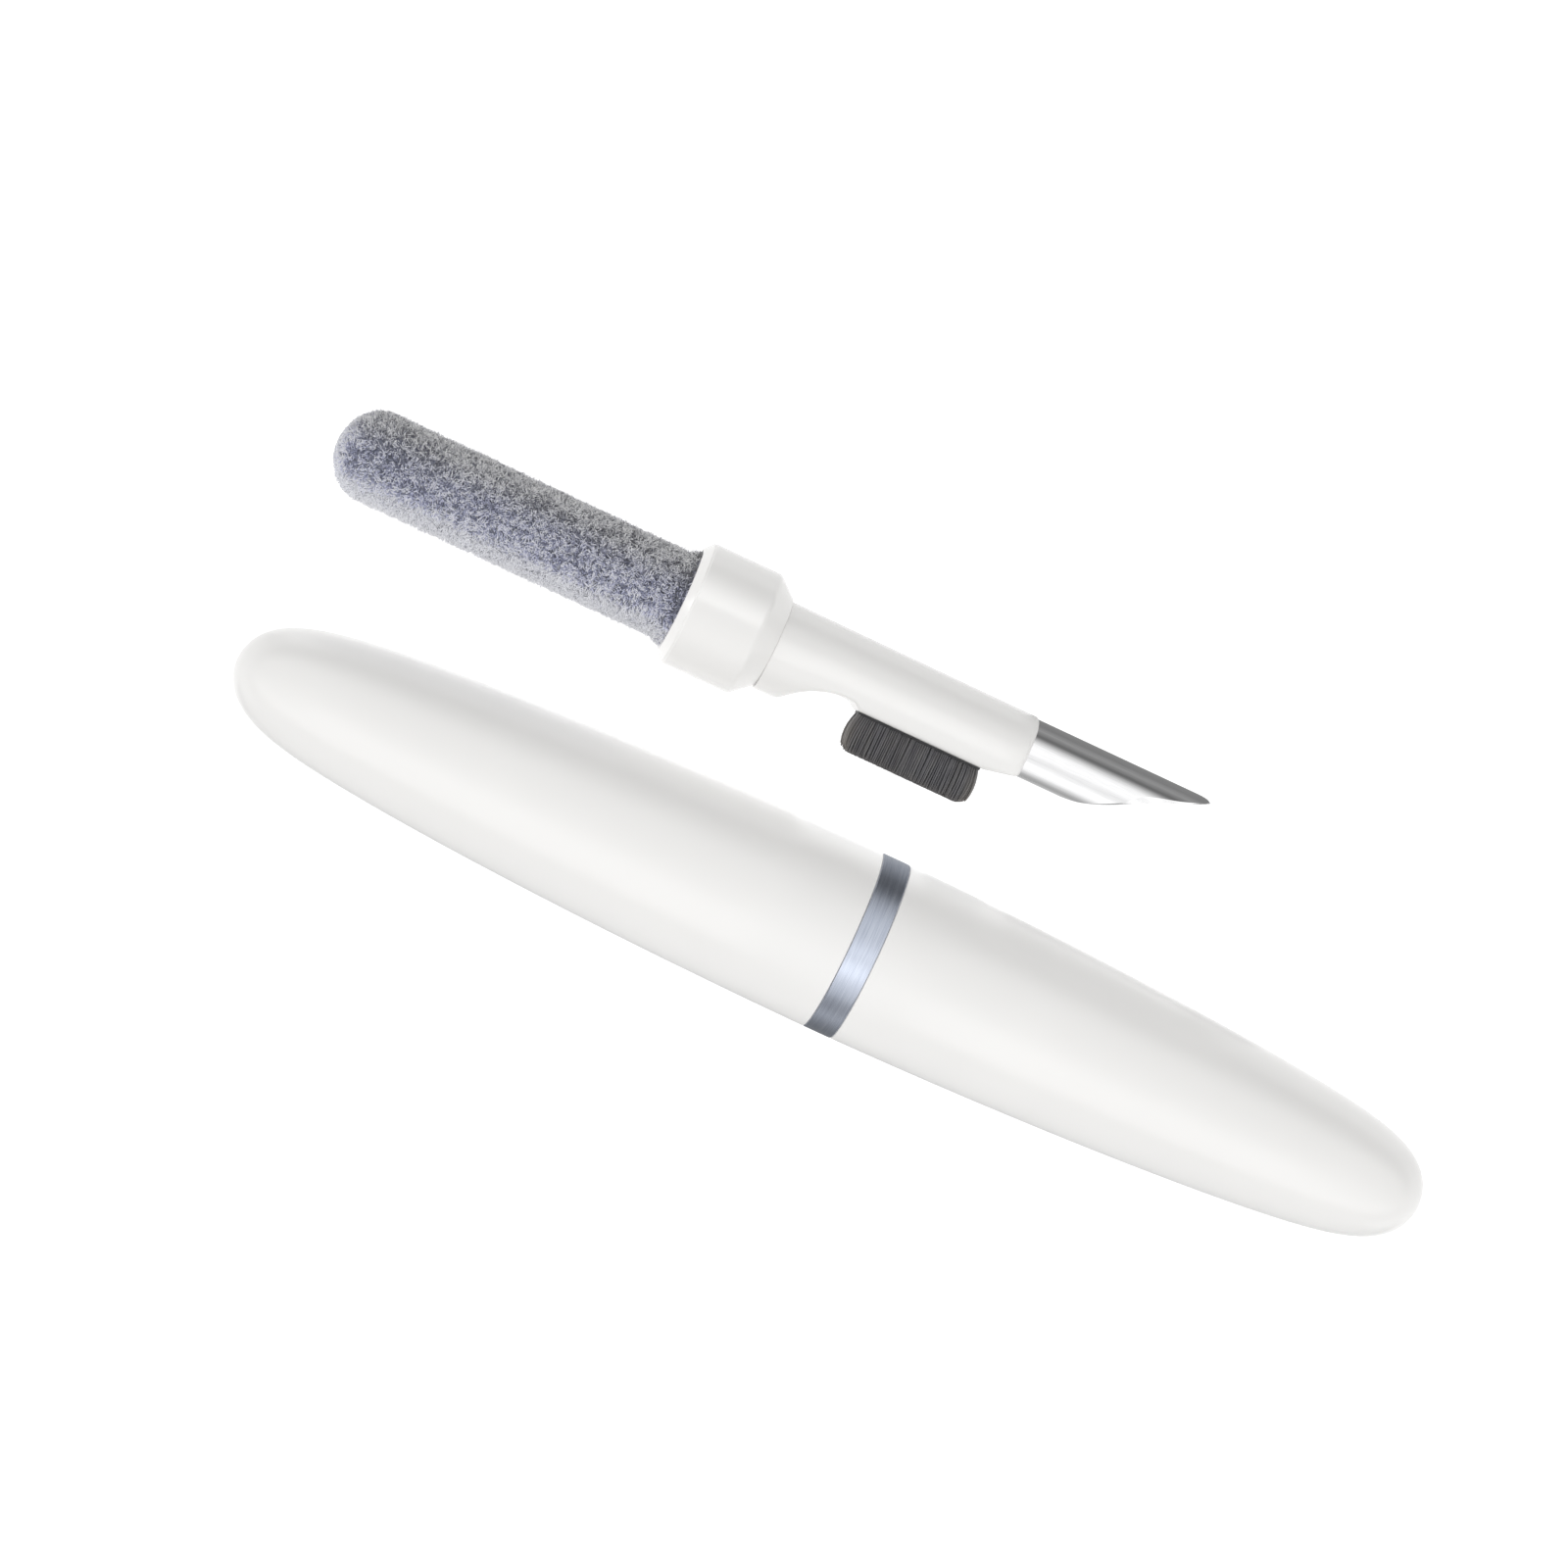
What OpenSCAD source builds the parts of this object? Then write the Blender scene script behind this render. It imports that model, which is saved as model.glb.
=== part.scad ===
// Pocket cleaning pen: a two-part torpedo case with a metal trim ring, and the
// double-ended tool that it stores (flocked swab at one end, strip brush and
// slant-cut nib at the other).
// The closed case lies along X and the tool lies beside it, both on Z = 0.
// Origin: middle of the overall footprint, on the surface the pen lies on.

/* [Case] */
// Overall length of the closed case
case_len = 120; // [112:1:132]
// Outside radius of the case at the trim ring
case_r = 8.75; // [8.6:0.05:9.6]
// How far the rear half stays full before it tapers
rear_taper = 1.9; // [1.6:0.05:2.3]
// How far the front half stays full before it tapers
front_taper = 1.68; // [1.6:0.02:2.2]
// Bluntness of the two rounded ends
nose_power = 20; // [16:1:26]
// Share of the radius that follows the long taper
taper_share = 0.58; // [0.5:0.01:0.62]
// Wall thickness of both shells
shell_wall = 1.3; // [1.1:0.05:1.5]
// Solid thickness at each rounded end
end_wall = 2.2; // [1.6:0.1:3]

/* [Trim ring] */
// Distance of the ring's middle ahead of the case's mid-length
ring_x = 2.6; // [0:0.1:5]
// Visible width of the ring
ring_w = 2.7; // [2:0.1:4]

/* [Coupling] */
// Outside radius of the coupling sleeve
sleeve_r = 7.3; // [7.2:0.05:7.4]
// Bore radius of the socket that grips the tool's collar
socket_r = 6.05; // [6.02:0.01:6.1]
// Length of the sleeve pressed into the rear shell
press_len = 7.25; // [6:0.25:9]
// Length of the spigot that carries the front cap
spigot_len = 8; // [6:0.25:10]
// Bore radius of the stop shoulder at the socket's inner end
stop_r = 5.1; // [5.05:0.05:5.4]
// Thickness of the stop shoulder
stop_len = 1.5; // [1:0.1:2]
// Radial running clearance between cap and spigot
cap_clear = 0.05; // [0.03:0.01:0.09]

/* [Tool layout] */
// Distance between the case's axis and the tool's axis
axis_gap = 22; // [20:0.5:30]

/* [Swab] */
// Length of the flocked swab, from its tip to the collar
swab_len = 34.7; // [30:0.1:38]
// Radius of the flocked swab near its tip
swab_r = 4.45; // [4:0.05:4.6]
// Thickness of the flock layer over the foam
flock_t = 0.55; // [0.4:0.05:0.8]
// Radius of the stiff stem inside the swab
stem_r = 1.6; // [1.2:0.1:2]

/* [Collar] */
// Outside radius of the collar
collar_r = 6; // [5.9:0.02:6.02]
// Length of the collar's cylindrical part
collar_len = 7.5; // [6:0.1:9]
// Length of the collar's bevel
bevel_len = 1.95; // [1.5:0.05:3]
// Chamfer on the collar's swab-side edge
collar_edge = 0.8; // [0.5:0.05:0.8]

/* [Barrel] */
// Radius of the barrel
barrel_r = 4.15; // [4.1:0.05:4.3]
// Length of the barrel, from the collar to its nose
barrel_len = 25.4; // [25.2:0.1:28]
// Distance of the flat brush pad from the barrel's axis
pad_v = 2.44; // [2.35:0.01:2.5]
// Radius of the finger scoop in front of the collar
scoop_r = 7.4; // [7.2:0.1:8]

/* [Brush] */
// Length of the brush at its root
brush_len = 12.4; // [11.8:0.1:12.6]
// Width of the brush at its root
brush_w = 4.2; // [3.4:0.1:4.4]
// Free length of the bristles
bristle_len = 3.65; // [3:0.05:3.8]

/* [Nib] */
// Radius of the metal nib
nib_r = 2.8; // [2.6:0.02:2.9]
// Visible length of the nib
nib_len = 17.4; // [15:0.1:19]
// Offset of the nib's axis from the barrel's axis, away from the brush
nib_off = 1.1; // [1:0.02:1.14]
// Angle of the slanted cut
nib_angle = 27; // [25:1:32]
// Radius of the nib's shank in the barrel
shank_r = 1.9; // [1.6:0.05:1.95]

/* [Hidden] */
fn_body = 96;
steps = 44;

// places in the row frame
span_y  = case_r + axis_gap + collar_r;
case_y  = -span_y / 2 + case_r;
tool_y  = case_y + axis_gap;
case_z  = case_r;
tool_z  = collar_r;
x_rear  = -case_len / 2;
x_front = case_len / 2;
x_ring0 = ring_x - ring_w / 2;
x_ring1 = ring_x + ring_w / 2;
x_slv0  = x_ring0 - press_len;
x_slv1  = x_ring1 + spigot_len;
core_r  = sleeve_r - 0.3;          // largest cavity radius behind the mouths
rear_l  = ring_x - x_rear;
front_l = x_front - ring_x;

// places along the tool's own axis, from the swab's tip
u_col   = swab_len;
u_bev   = u_col + collar_len;
u_bar   = u_bev + bevel_len;
u_nose  = u_bar + barrel_len;
u_tip   = u_nose + nib_len;
u_pad   = u_nose - 3.3 - brush_len / 2 - 0.05;   // middle of the brush
tenon_r = 3;
tenon_l = 4;
stem_in = 4.5;
shank_l = 6;
back_t  = 1.14;                    // depth of the backing strip's slot
back_up = 0.25;                    // how far the strip stands proud of the pad
nib_r2  = nib_r;

// outside radius of the case at x
function unit(t) = max(0, min(1, t));
function share(t, a) = taper_share * sqrt(1 - pow(unit(t), a))
                     + (1 - taper_share) * sqrt(1 - pow(unit(t), nose_power));
function case_at(x) = case_r * (x < ring_x ? share((ring_x - x) / rear_l, rear_taper)
                                           : share((x - ring_x) / front_l, front_taper));
// stations that crowd towards the rounded end
function rear_x(i)  = x_ring0 + (x_rear - x_ring0) * sin(90 * i / steps);
function front_x(i) = x_ring1 + (x_front - x_ring1) * sin(90 * i / steps);
// inside radius of a shell at x
function core_at(x) = max(0.4, min(core_r, case_at(x) - shell_wall));

// along +X from a profile of [radius, x] points
module lathe(pts) rotate([0, 90, 0]) rotate_extrude($fn = fn_body) polygon(pts);

module rear_outer() lathe(concat(
    [[0, x_rear]],
    [for (i = [steps - 1 : -1 : 1]) [case_at(rear_x(i)), rear_x(i)]],
    [[case_at(x_ring0 - 0.2), x_ring0 - 0.2], [case_at(x_ring0) - 0.15, x_ring0], [0, x_ring0]]));

module front_outer() lathe(concat(
    [[0, x_ring1], [case_at(x_ring1) - 0.15, x_ring1], [case_at(x_ring1 + 0.2), x_ring1 + 0.2]],
    [for (i = [1 : steps - 1]) [case_at(front_x(i)), front_x(i)]],
    [[0, x_front]]));

cav = 22;
rear_c0 = x_rear + end_wall;
front_c0 = x_front - end_wall;
function rear_cx(i)  = x_slv0 + (rear_c0 - x_slv0) * sin(90 * i / cav);
function front_cx(i) = x_slv1 + 0.5 + (front_c0 - x_slv1 - 0.5) * sin(90 * i / cav);
function end_fade(i) = i == cav ? 0.35 : 1;

module rear_core() lathe(concat(
    [[0, rear_c0]],
    [for (i = [cav : -1 : 0]) [core_at(rear_cx(i)) * end_fade(i), rear_cx(i)]],
    [[sleeve_r, x_slv0], [sleeve_r, x_ring0 + 1], [0, x_ring0 + 1]]));

module front_core() lathe(concat(
    [[0, x_ring1 - 1], [sleeve_r + cap_clear + 0.3, x_ring1 - 1],
     [sleeve_r + cap_clear + 0.3, x_ring1], [sleeve_r + cap_clear, x_ring1 + 0.3],
     [sleeve_r + cap_clear, x_slv1 + 0.5]],
    [for (i = [0 : cav]) [core_at(front_cx(i)) * end_fade(i), front_cx(i)]],
    [[0, front_c0]]));

// ---- case ----
module rear_shell() color("#F1F0EE")
    translate([0, case_y, case_z]) difference() {
        rear_outer();
        rear_core();
    }

module front_cap() color("#F1F0EE")
    translate([0, case_y, case_z]) difference() {
        front_outer();
        front_core();
    }

module trim_ring() color("#A9ADBC")
    translate([0, case_y, case_z]) lathe([
        [sleeve_r, x_ring0], [case_r - 0.1, x_ring0], [case_r, x_ring0 + 0.12],
        [case_r, x_ring1 - 0.12], [case_r - 0.1, x_ring1], [sleeve_r, x_ring1]]);

module coupling_sleeve() color("#E8E7E4")
    translate([0, case_y, case_z]) lathe([
        [stop_r, x_slv0], [sleeve_r - 0.3, x_slv0], [sleeve_r, x_slv0 + 0.4],
        [sleeve_r, x_slv1 - 0.5], [sleeve_r - 0.35, x_slv1], [socket_r + 0.3, x_slv1],
        [socket_r, x_slv1 - 0.3], [socket_r, x_slv0 + stop_len], [stop_r, x_slv0 + stop_len]]);

// ---- tool ----
// tool frame: axis along +X from the swab's tip, brush towards -Y
module on_tool() translate([x_rear, tool_y, tool_z]) children();
// a round-ended rod between u0 and u1 with a domed tip at u0
function dome(u0, r, d, n) = [for (i = [0 : n]) [r * pow(sin(90 * i / n), 0.9), u0 + d * (1 - cos(90 * i / n))]];

module collar() color("#EFEEEC") on_tool() difference() {
    lathe([[0, u_col], [collar_r - collar_edge, u_col], [collar_r, u_col + collar_edge],
           [collar_r, u_bev - 0.3], [collar_r - 0.2, u_bev + 0.2],
           [barrel_r + 0.4, u_bar - 0.2], [barrel_r + 0.2, u_bar], [0, u_bar]]);
    lathe([[0, u_col - 1], [stem_r, u_col - 1], [stem_r, u_col + stem_in], [0, u_col + stem_in]]);
    lathe([[0, u_bar - tenon_l], [tenon_r, u_bar - tenon_l], [tenon_r, u_bar + 1], [0, u_bar + 1]]);
}

// side outline of everything cut from under the barrel, [u, v] with v towards the brush
sc_u = u_pad - brush_len / 2 - 1.5;
sc_v = pad_v - 0.6;
function scoop(i, n) = let (a = 54 * (1 - i / n)) [sc_u - scoop_r * sin(a), sc_v + scoop_r * (1 - cos(a))];
under = concat([for (i = [0 : 14]) scoop(i, 14)],
    [[sc_u + 0.7, sc_v + 0.06], [u_pad - brush_len / 2 - 0.15, pad_v],
     [u_pad + brush_len / 2 + 0.25, pad_v], [u_nose + 0.5, 1.62],
     [u_nose + 0.5, 9], [scoop(0, 14)[0], 9]]);

module barrel() color("#EFEEEC") on_tool() difference() {
    union() {
        lathe([[0, u_bar - tenon_l], [tenon_r - 0.3, u_bar - tenon_l], [tenon_r, u_bar - tenon_l + 0.3],
               [tenon_r, u_bar], [barrel_r, u_bar], [barrel_r - 0.12, u_nose - 0.6],
               [barrel_r - 0.45, u_nose], [0, u_nose]]);
        hull() {
            translate([u_bar, -0.2, 0]) rotate([0, 90, 0]) cylinder(r = barrel_r + 0.2, h = 0.05, $fn = 32);
            translate([u_bar + 3.2, -0.1, 0]) rotate([0, 90, 0]) cylinder(r = barrel_r + 0.06, h = 0.05, $fn = 32);
        }
    }
    // underside: scoop, brush pad and nose bevel
    translate([0, 0, -8]) linear_extrude(16) polygon([for (p = under) [p[0], -p[1]]]);
    // slot for the brush's backing strip
    translate([u_pad - brush_len / 2, -pad_v - 1, -brush_w / 2]) cube([brush_len, back_t + 1, brush_w]);
    // bore for the nib's shank
    translate([u_nose - shank_l, nib_off, 0]) rotate([0, 90, 0]) cylinder(r = shank_r, h = shank_l + 1, $fn = 48);
}

module brush_backing() color("#5A5A5E") on_tool()
    translate([u_pad - brush_len / 2, -pad_v - back_up, -brush_w / 2]) cube([brush_len, back_t + back_up, brush_w]);

// bristle block: straight at the root, bulging a little, rounded at the free corners
function bristle_side(s) = [
    [s * (brush_len / 2), 0], [s * (brush_len / 2 + 0.18), bristle_len * 0.25],
    [s * (brush_len / 2 + 0.3), bristle_len * 0.55], [s * (brush_len / 2 + 0.15), bristle_len * 0.82],
    [s * (brush_len / 2 - 0.2), bristle_len * 0.96], [s * (brush_len / 2 - 0.6), bristle_len]];
bristle_back = bristle_side(-1);
module brush_bristles() color("#58575A") on_tool()
    translate([u_pad, -pad_v - back_up, -brush_w / 2]) linear_extrude(brush_w)
        polygon([for (p = concat(bristle_side(1), [for (i = [5 : -1 : 0]) bristle_back[i]])) [p[0], -p[1]]]);

// side outline of the metal cut from the nib, [u, v]
nib_hi = -nib_off - nib_r + 0.32;                 // underside of the point
cut_l  = (2 * nib_r - 0.32) / tan(nib_angle);     // length of the slant on the side view
cut_b  = 2.4;                                     // blend from the round shank into the slant
nib_lo = -nib_off + nib_r;
function cut_pt(t) = let (u0 = u_tip - cut_l) [
    u0 - cut_b + (cut_b * 2) * t,
    nib_lo - (cut_b * tan(nib_angle)) * t * t];
nib_cut = concat([for (i = [0 : 10]) cut_pt(i / 10)],
    [[u_tip - 0.35, nib_hi + 0.35 * tan(nib_angle)], [u_tip, nib_hi],
     [u_tip + 1, nib_hi], [u_tip + 1, 9], [cut_pt(0)[0], 9]]);

module nib() color("#C9C9CC") on_tool() difference() {
    union() {
        translate([u_nose, nib_off, 0]) lathe([[0, 0], [nib_r2, 0], [nib_r2, nib_len - 0.45],
                                               [nib_r2 - 0.28, nib_len], [0, nib_len]]);
        translate([u_nose - shank_l, nib_off, 0]) lathe([[0, 0], [shank_r - 0.3, 0], [shank_r, 0.3],
                                                         [shank_r, shank_l + 0.5], [0, shank_l + 0.5]]);
    }
    translate([0, 0, -8]) linear_extrude(16) polygon([for (p = nib_cut) [p[0], -p[1]]]);
}

module swab_stem() color("#E3E3E3") on_tool()
    lathe([[0, 2.2], [stem_r - 0.5, 2.2], [stem_r, 2.8], [stem_r, u_col + stem_in], [0, u_col + stem_in]]);

module swab_foam() color("#8F93A0") on_tool() difference() {
    lathe(concat(dome(flock_t, swab_r - flock_t, 3.2, 10),
                 [[swab_r - flock_t - 0.15, u_col], [0, u_col]]));
    lathe([[0, 2.2], [stem_r - 0.5, 2.2], [stem_r, 2.8], [stem_r, u_col + 1], [0, u_col + 1]]);
}

module flock_cover() color("#8D909C") on_tool() difference() {
    lathe(concat(dome(0, swab_r, 3.9, 14),
                 [[swab_r - 0.15, u_col - 1.1], [swab_r + 0.55, u_col], [0, u_col]]));
    lathe(concat(dome(flock_t, swab_r - flock_t, 3.2, 10),
                 [[swab_r - flock_t - 0.15, u_col], [swab_r - flock_t - 0.15, u_col + 1], [0, u_col + 1]]));
}

rear_shell();
trim_ring();
coupling_sleeve();
front_cap();
collar();
barrel();
nib();
brush_backing();
brush_bristles();
swab_stem();
swab_foam();
flock_cover();
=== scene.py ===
import math

import bpy
import numpy as np
from mathutils import Matrix, Vector


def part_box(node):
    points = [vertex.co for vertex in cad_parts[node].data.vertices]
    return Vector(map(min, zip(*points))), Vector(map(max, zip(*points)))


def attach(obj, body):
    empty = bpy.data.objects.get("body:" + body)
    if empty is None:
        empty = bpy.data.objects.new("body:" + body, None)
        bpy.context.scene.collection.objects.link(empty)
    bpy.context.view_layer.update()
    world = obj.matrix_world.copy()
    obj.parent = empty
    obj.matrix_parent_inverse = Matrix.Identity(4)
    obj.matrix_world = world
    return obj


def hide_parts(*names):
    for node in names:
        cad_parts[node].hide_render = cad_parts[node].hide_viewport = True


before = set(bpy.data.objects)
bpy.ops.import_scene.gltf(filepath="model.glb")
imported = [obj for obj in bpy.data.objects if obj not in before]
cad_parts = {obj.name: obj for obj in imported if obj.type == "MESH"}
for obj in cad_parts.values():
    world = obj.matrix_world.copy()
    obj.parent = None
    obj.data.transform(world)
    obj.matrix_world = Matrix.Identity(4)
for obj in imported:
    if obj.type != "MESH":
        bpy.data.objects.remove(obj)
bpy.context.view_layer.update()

MM = 0.001
RNG = np.random.default_rng(20417)

# ---------------------------------------------------------------- places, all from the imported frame, in mm
def box_mm(node):
    lo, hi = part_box(node)
    return np.array(lo) / MM, np.array(hi) / MM


rear_lo, rear_hi = box_mm("rear_shell")
cap_lo, cap_hi = box_mm("front_cap")
ring_lo, ring_hi = box_mm("trim_ring")
slv_lo, slv_hi = box_mm("coupling_sleeve")
col_lo, col_hi = box_mm("collar")
brl_lo, brl_hi = box_mm("barrel")
nib_lo, nib_hi = box_mm("nib")
swab_lo, swab_hi = box_mm("flock_cover")
brs_lo, brs_hi = box_mm("brush_bristles")
bck_lo, bck_hi = box_mm("brush_backing")

X_REAR, X_RING0, X_RING1, X_FRONT = rear_lo[0], ring_lo[0], ring_hi[0], cap_hi[0]
CASE_Y = (ring_lo[1] + ring_hi[1]) / 2
CASE_Z = (ring_lo[2] + ring_hi[2]) / 2
CASE_R = (ring_hi[1] - ring_lo[1]) / 2
RING_X = (X_RING0 + X_RING1) / 2
SLV0, SLV1 = slv_lo[0], slv_hi[0]
SLV_R = (slv_hi[1] - slv_lo[1]) / 2
TOOL_Y = (col_lo[1] + col_hi[1]) / 2
TOOL_Z = (col_lo[2] + col_hi[2]) / 2
COL_R = (col_hi[1] - col_lo[1]) / 2
U0 = swab_lo[0]                      # tool coordinates: u from the swab's tip
U_COL = col_lo[0] - U0
U_BAR = col_hi[0] - U0
U_NOSE = U_BAR + 25.4
U_TIP = nib_hi[0] - U0
BRL_R = 4.15
PAD_V = 2.44
U_PAD = (bck_lo[0] + bck_hi[0]) / 2 - U0
BRUSH_L = bck_hi[0] - bck_lo[0]
BRUSH_W = bck_hi[2] - bck_lo[2]
BRUSH_V = TOOL_Y - brs_lo[1]         # reach of the bristles from the tool's axis
NIB_R = (nib_hi[2] - nib_lo[2]) / 2
NIB_OFF = nib_hi[1] - TOOL_Y - NIB_R
SWAB_R = 4.45


# ---------------------------------------------------------------- mesh helpers (mm in, metres out)
def make(name, verts, faces, sharp=32.0):
    me = bpy.data.meshes.new(name)
    v = np.asarray(verts, np.float64) * MM
    if isinstance(faces, np.ndarray):
        n, k = faces.shape
        me.vertices.add(len(v))
        me.vertices.foreach_set("co", v.astype(np.float32).ravel())
        me.loops.add(n * k)
        me.loops.foreach_set("vertex_index", faces.astype(np.int32).ravel())
        me.polygons.add(n)
        me.polygons.foreach_set("loop_start", np.arange(0, n * k, k, dtype=np.int32))
        me.update(calc_edges=True)
    else:
        me.from_pydata(v.tolist(), [], faces)
        me.update()
    me.validate()
    me.polygons.foreach_set("use_smooth", np.ones(len(me.polygons), bool))
    if sharp:
        me.set_sharp_from_angle(angle=math.radians(sharp))
    me.update()
    ob = bpy.data.objects.new(name, me)
    bpy.context.scene.collection.objects.link(ob)
    return ob


def fillet(pts, closed=False, n=5):
    """Rounds the corners of a profile of (x, r) or (x, r, radius) points."""
    out = []
    m = len(pts)
    for i, p in enumerate(pts):
        rad = p[2] if len(p) > 2 else 0.0
        if rad <= 0 or (not closed and i in (0, m - 1)):
            out.append((p[0], p[1]))
            continue
        a = np.array(pts[(i - 1) % m][:2], float)
        b = np.array(p[:2], float)
        c = np.array(pts[(i + 1) % m][:2], float)
        l1, l2 = np.linalg.norm(a - b), np.linalg.norm(c - b)
        d1, d2 = (a - b) / l1, (c - b) / l2
        ang = math.acos(max(-1, min(1, float(d1 @ d2))))
        if ang > math.radians(178):
            out.append((p[0], p[1]))
            continue
        t = min(rad / math.tan(ang / 2), 0.48 * l1, 0.48 * l2)
        rad = t * math.tan(ang / 2)
        p1, p2 = b + d1 * t, b + d2 * t
        bis = (d1 + d2) / np.linalg.norm(d1 + d2)
        cen = b + bis * (rad / math.sin(ang / 2))
        v1, v2 = p1 - cen, p2 - cen
        w = math.pi - ang
        for k in range(n + 1):
            s = k / n
            q = cen + (math.sin((1 - s) * w) * v1 + math.sin(s * w) * v2) / math.sin(w)
            out.append((float(q[0]), float(q[1])))
    return out


def lathe(name, prof, cy, cz, seg=192, closed=False, sharp=32.0):
    """A closed surface of revolution about the X direction through (cy, cz). prof is (x, r) from pole to pole, or a loop."""
    P = np.array([(float(a), float(b)) for a, b in prof])
    ang = np.arange(seg) * 2 * math.pi / seg
    ca, sa = np.cos(ang), np.sin(ang)
    if closed:
        rings = P
        V = np.stack([np.repeat(rings[:, 0], seg),
                      (cy + rings[:, 1:2] * ca).ravel(), (cz + rings[:, 1:2] * sa).ravel()], 1)
        m = len(rings)
        i, j = np.meshgrid(np.arange(m), np.arange(seg), indexing="ij")
        i2, j2 = (i + 1) % m, (j + 1) % seg
        F = np.stack([i * seg + j, i2 * seg + j, i2 * seg + j2, i * seg + j2], -1).reshape(-1, 4)
        ob = make(name, V, F, sharp)
    else:
        rings = P[1:-1]
        V = np.stack([np.repeat(rings[:, 0], seg),
                      (cy + rings[:, 1:2] * ca).ravel(), (cz + rings[:, 1:2] * sa).ravel()], 1)
        m = len(rings)
        V = np.vstack([V, [[P[0, 0], cy, cz], [P[-1, 0], cy, cz]]])
        i, j = np.meshgrid(np.arange(m - 1), np.arange(seg), indexing="ij")
        j2 = (j + 1) % seg
        F = np.stack([i * seg + j, (i + 1) * seg + j, (i + 1) * seg + j2, i * seg + j2], -1).reshape(-1, 4).tolist()
        a, b = m * seg, m * seg + 1
        F += [[a, k, (k + 1) % seg] for k in range(seg)]
        F += [[b, (m - 1) * seg + (k + 1) % seg, (m - 1) * seg + k] for k in range(seg)]
        ob = make(name, V, F, sharp)
    outward(ob)
    return ob


def outward(ob):
    """Faces point out: flips the mesh if its signed volume is negative."""
    me = ob.data
    me.calc_loop_triangles()
    n = len(me.loop_triangles)
    t = np.empty(n * 3, np.int32)
    me.loop_triangles.foreach_get("vertices", t)
    co = np.empty(len(me.vertices) * 3)
    me.vertices.foreach_get("co", co)
    co = co.reshape(-1, 3)
    t = t.reshape(-1, 3)
    v = np.einsum("ij,ij->i", co[t[:, 0]], np.cross(co[t[:, 1]], co[t[:, 2]])).sum()
    if v < 0:
        me.flip_normals()
    me.update()


# ---------------------------------------------------------------- the case
def unit(t):
    return max(0.0, min(1.0, t))


def case_at(x):
    a, l = (1.9, RING_X - X_REAR) if x < RING_X else (1.68, X_FRONT - RING_X)
    t = unit(abs(x - RING_X) / l)
    return CASE_R * (0.58 * math.sqrt(1 - t ** a) + 0.42 * math.sqrt(1 - t ** 20))


def core_at(x):
    return max(0.4, min(SLV_R - 0.3, case_at(x) - 1.3))


def shell_profile(x_mouth, x_tip, bore_r, bore_end, mouth_face_r, end_wall=2.2):
    """Outer skin from the rounded end to the mouth, then the inside back to the cavity's end."""
    s = 1 if x_tip > x_mouth else -1
    n = 150
    xs = [x_mouth + (x_tip - x_mouth) * math.sin(math.pi / 2 * i / n) for i in range(n + 1)]
    outer = [(x, case_at(x)) for x in xs[1:]]
    outer[-1] = (x_tip, 0.0)
    xe = x_mouth + s * 0.02
    skin = [(x, r) for x, r in outer[::-1] if abs(x - x_mouth) > 0.5]
    mouth = [(x_mouth, case_at(xe) - 0.015, 0.16), (x_mouth, bore_r + 0.28, 0.06),
             (x_mouth + s * 0.28, bore_r, 0.08)]
    ce = x_tip - s * end_wall
    m = 70
    cx = [bore_end + (ce - bore_end) * math.sin(math.pi / 2 * i / m) for i in range(m + 1)]
    inner = [(bore_end, bore_r, 0.05)] + [(x, core_at(x)) for x in cx[:-1]]
    k = len(inner)
    tail = [(x, r * (1 - 0.65 * max(0, (i - k * 0.93) / (k * 0.07)) ** 3) if i > k * 0.93 else r) for i, (x, r) in
            enumerate([(q[0], q[1]) for q in inner])]
    inner = [inner[0]] + tail[1:] + [(ce, 0.0)]
    return fillet(skin + mouth + inner, n=5)


rear = lathe("rear_shell_skin", shell_profile(X_RING0, X_REAR, SLV_R, SLV0, CASE_R), CASE_Y, CASE_Z, 224)
cap = lathe("front_cap_skin", shell_profile(X_RING1, X_FRONT, SLV_R + 0.05, SLV1 + 0.5, CASE_R), CASE_Y, CASE_Z, 224)

ring = lathe("trim_ring_band", fillet([
    (X_RING0 + 0.01, SLV_R, 0.05), (X_RING0 + 0.01, CASE_R - 0.005, 0.11), (RING_X, CASE_R + 0.0),
    (X_RING1 - 0.01, CASE_R - 0.005, 0.11), (X_RING1 - 0.01, SLV_R, 0.05)], closed=True, n=6),
    CASE_Y, CASE_Z, 256, closed=True)

# sleeve: pressed length, spigot with two shallow relief grooves, socket bore with a stop shoulder
sr, kr, st = SLV_R, 6.05, 5.1
sleeve = lathe("coupling_sleeve_body", fillet([
    (SLV0, st, 0.1), (SLV0, sr - 0.3, 0.1), (SLV0 + 0.4, sr, 0.1),
    (X_RING1 + 0.9, sr, 0.03), (X_RING1 + 1.0, sr - 0.12, 0.03), (X_RING1 + 1.5, sr - 0.12, 0.03), (X_RING1 + 1.6, sr, 0.03),
    (X_RING1 + 5.2, sr, 0.03), (X_RING1 + 5.3, sr - 0.1, 0.03), (X_RING1 + 5.9, sr - 0.1, 0.03), (X_RING1 + 6.0, sr, 0.03),
    (SLV1 - 0.5, sr, 0.15), (SLV1, sr - 0.35, 0.12), (SLV1, kr + 0.3, 0.08), (SLV1 - 0.3, kr, 0.08),
    (SLV0 + 1.5, kr, 0.08), (SLV0 + 1.5, st, 0.08)], closed=True, n=4), CASE_Y, CASE_Z, 192, closed=True)


# ---------------------------------------------------------------- the tool
def on_tool(prof):
    return [(U0 + p[0], *p[1:]) for p in prof]


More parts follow.
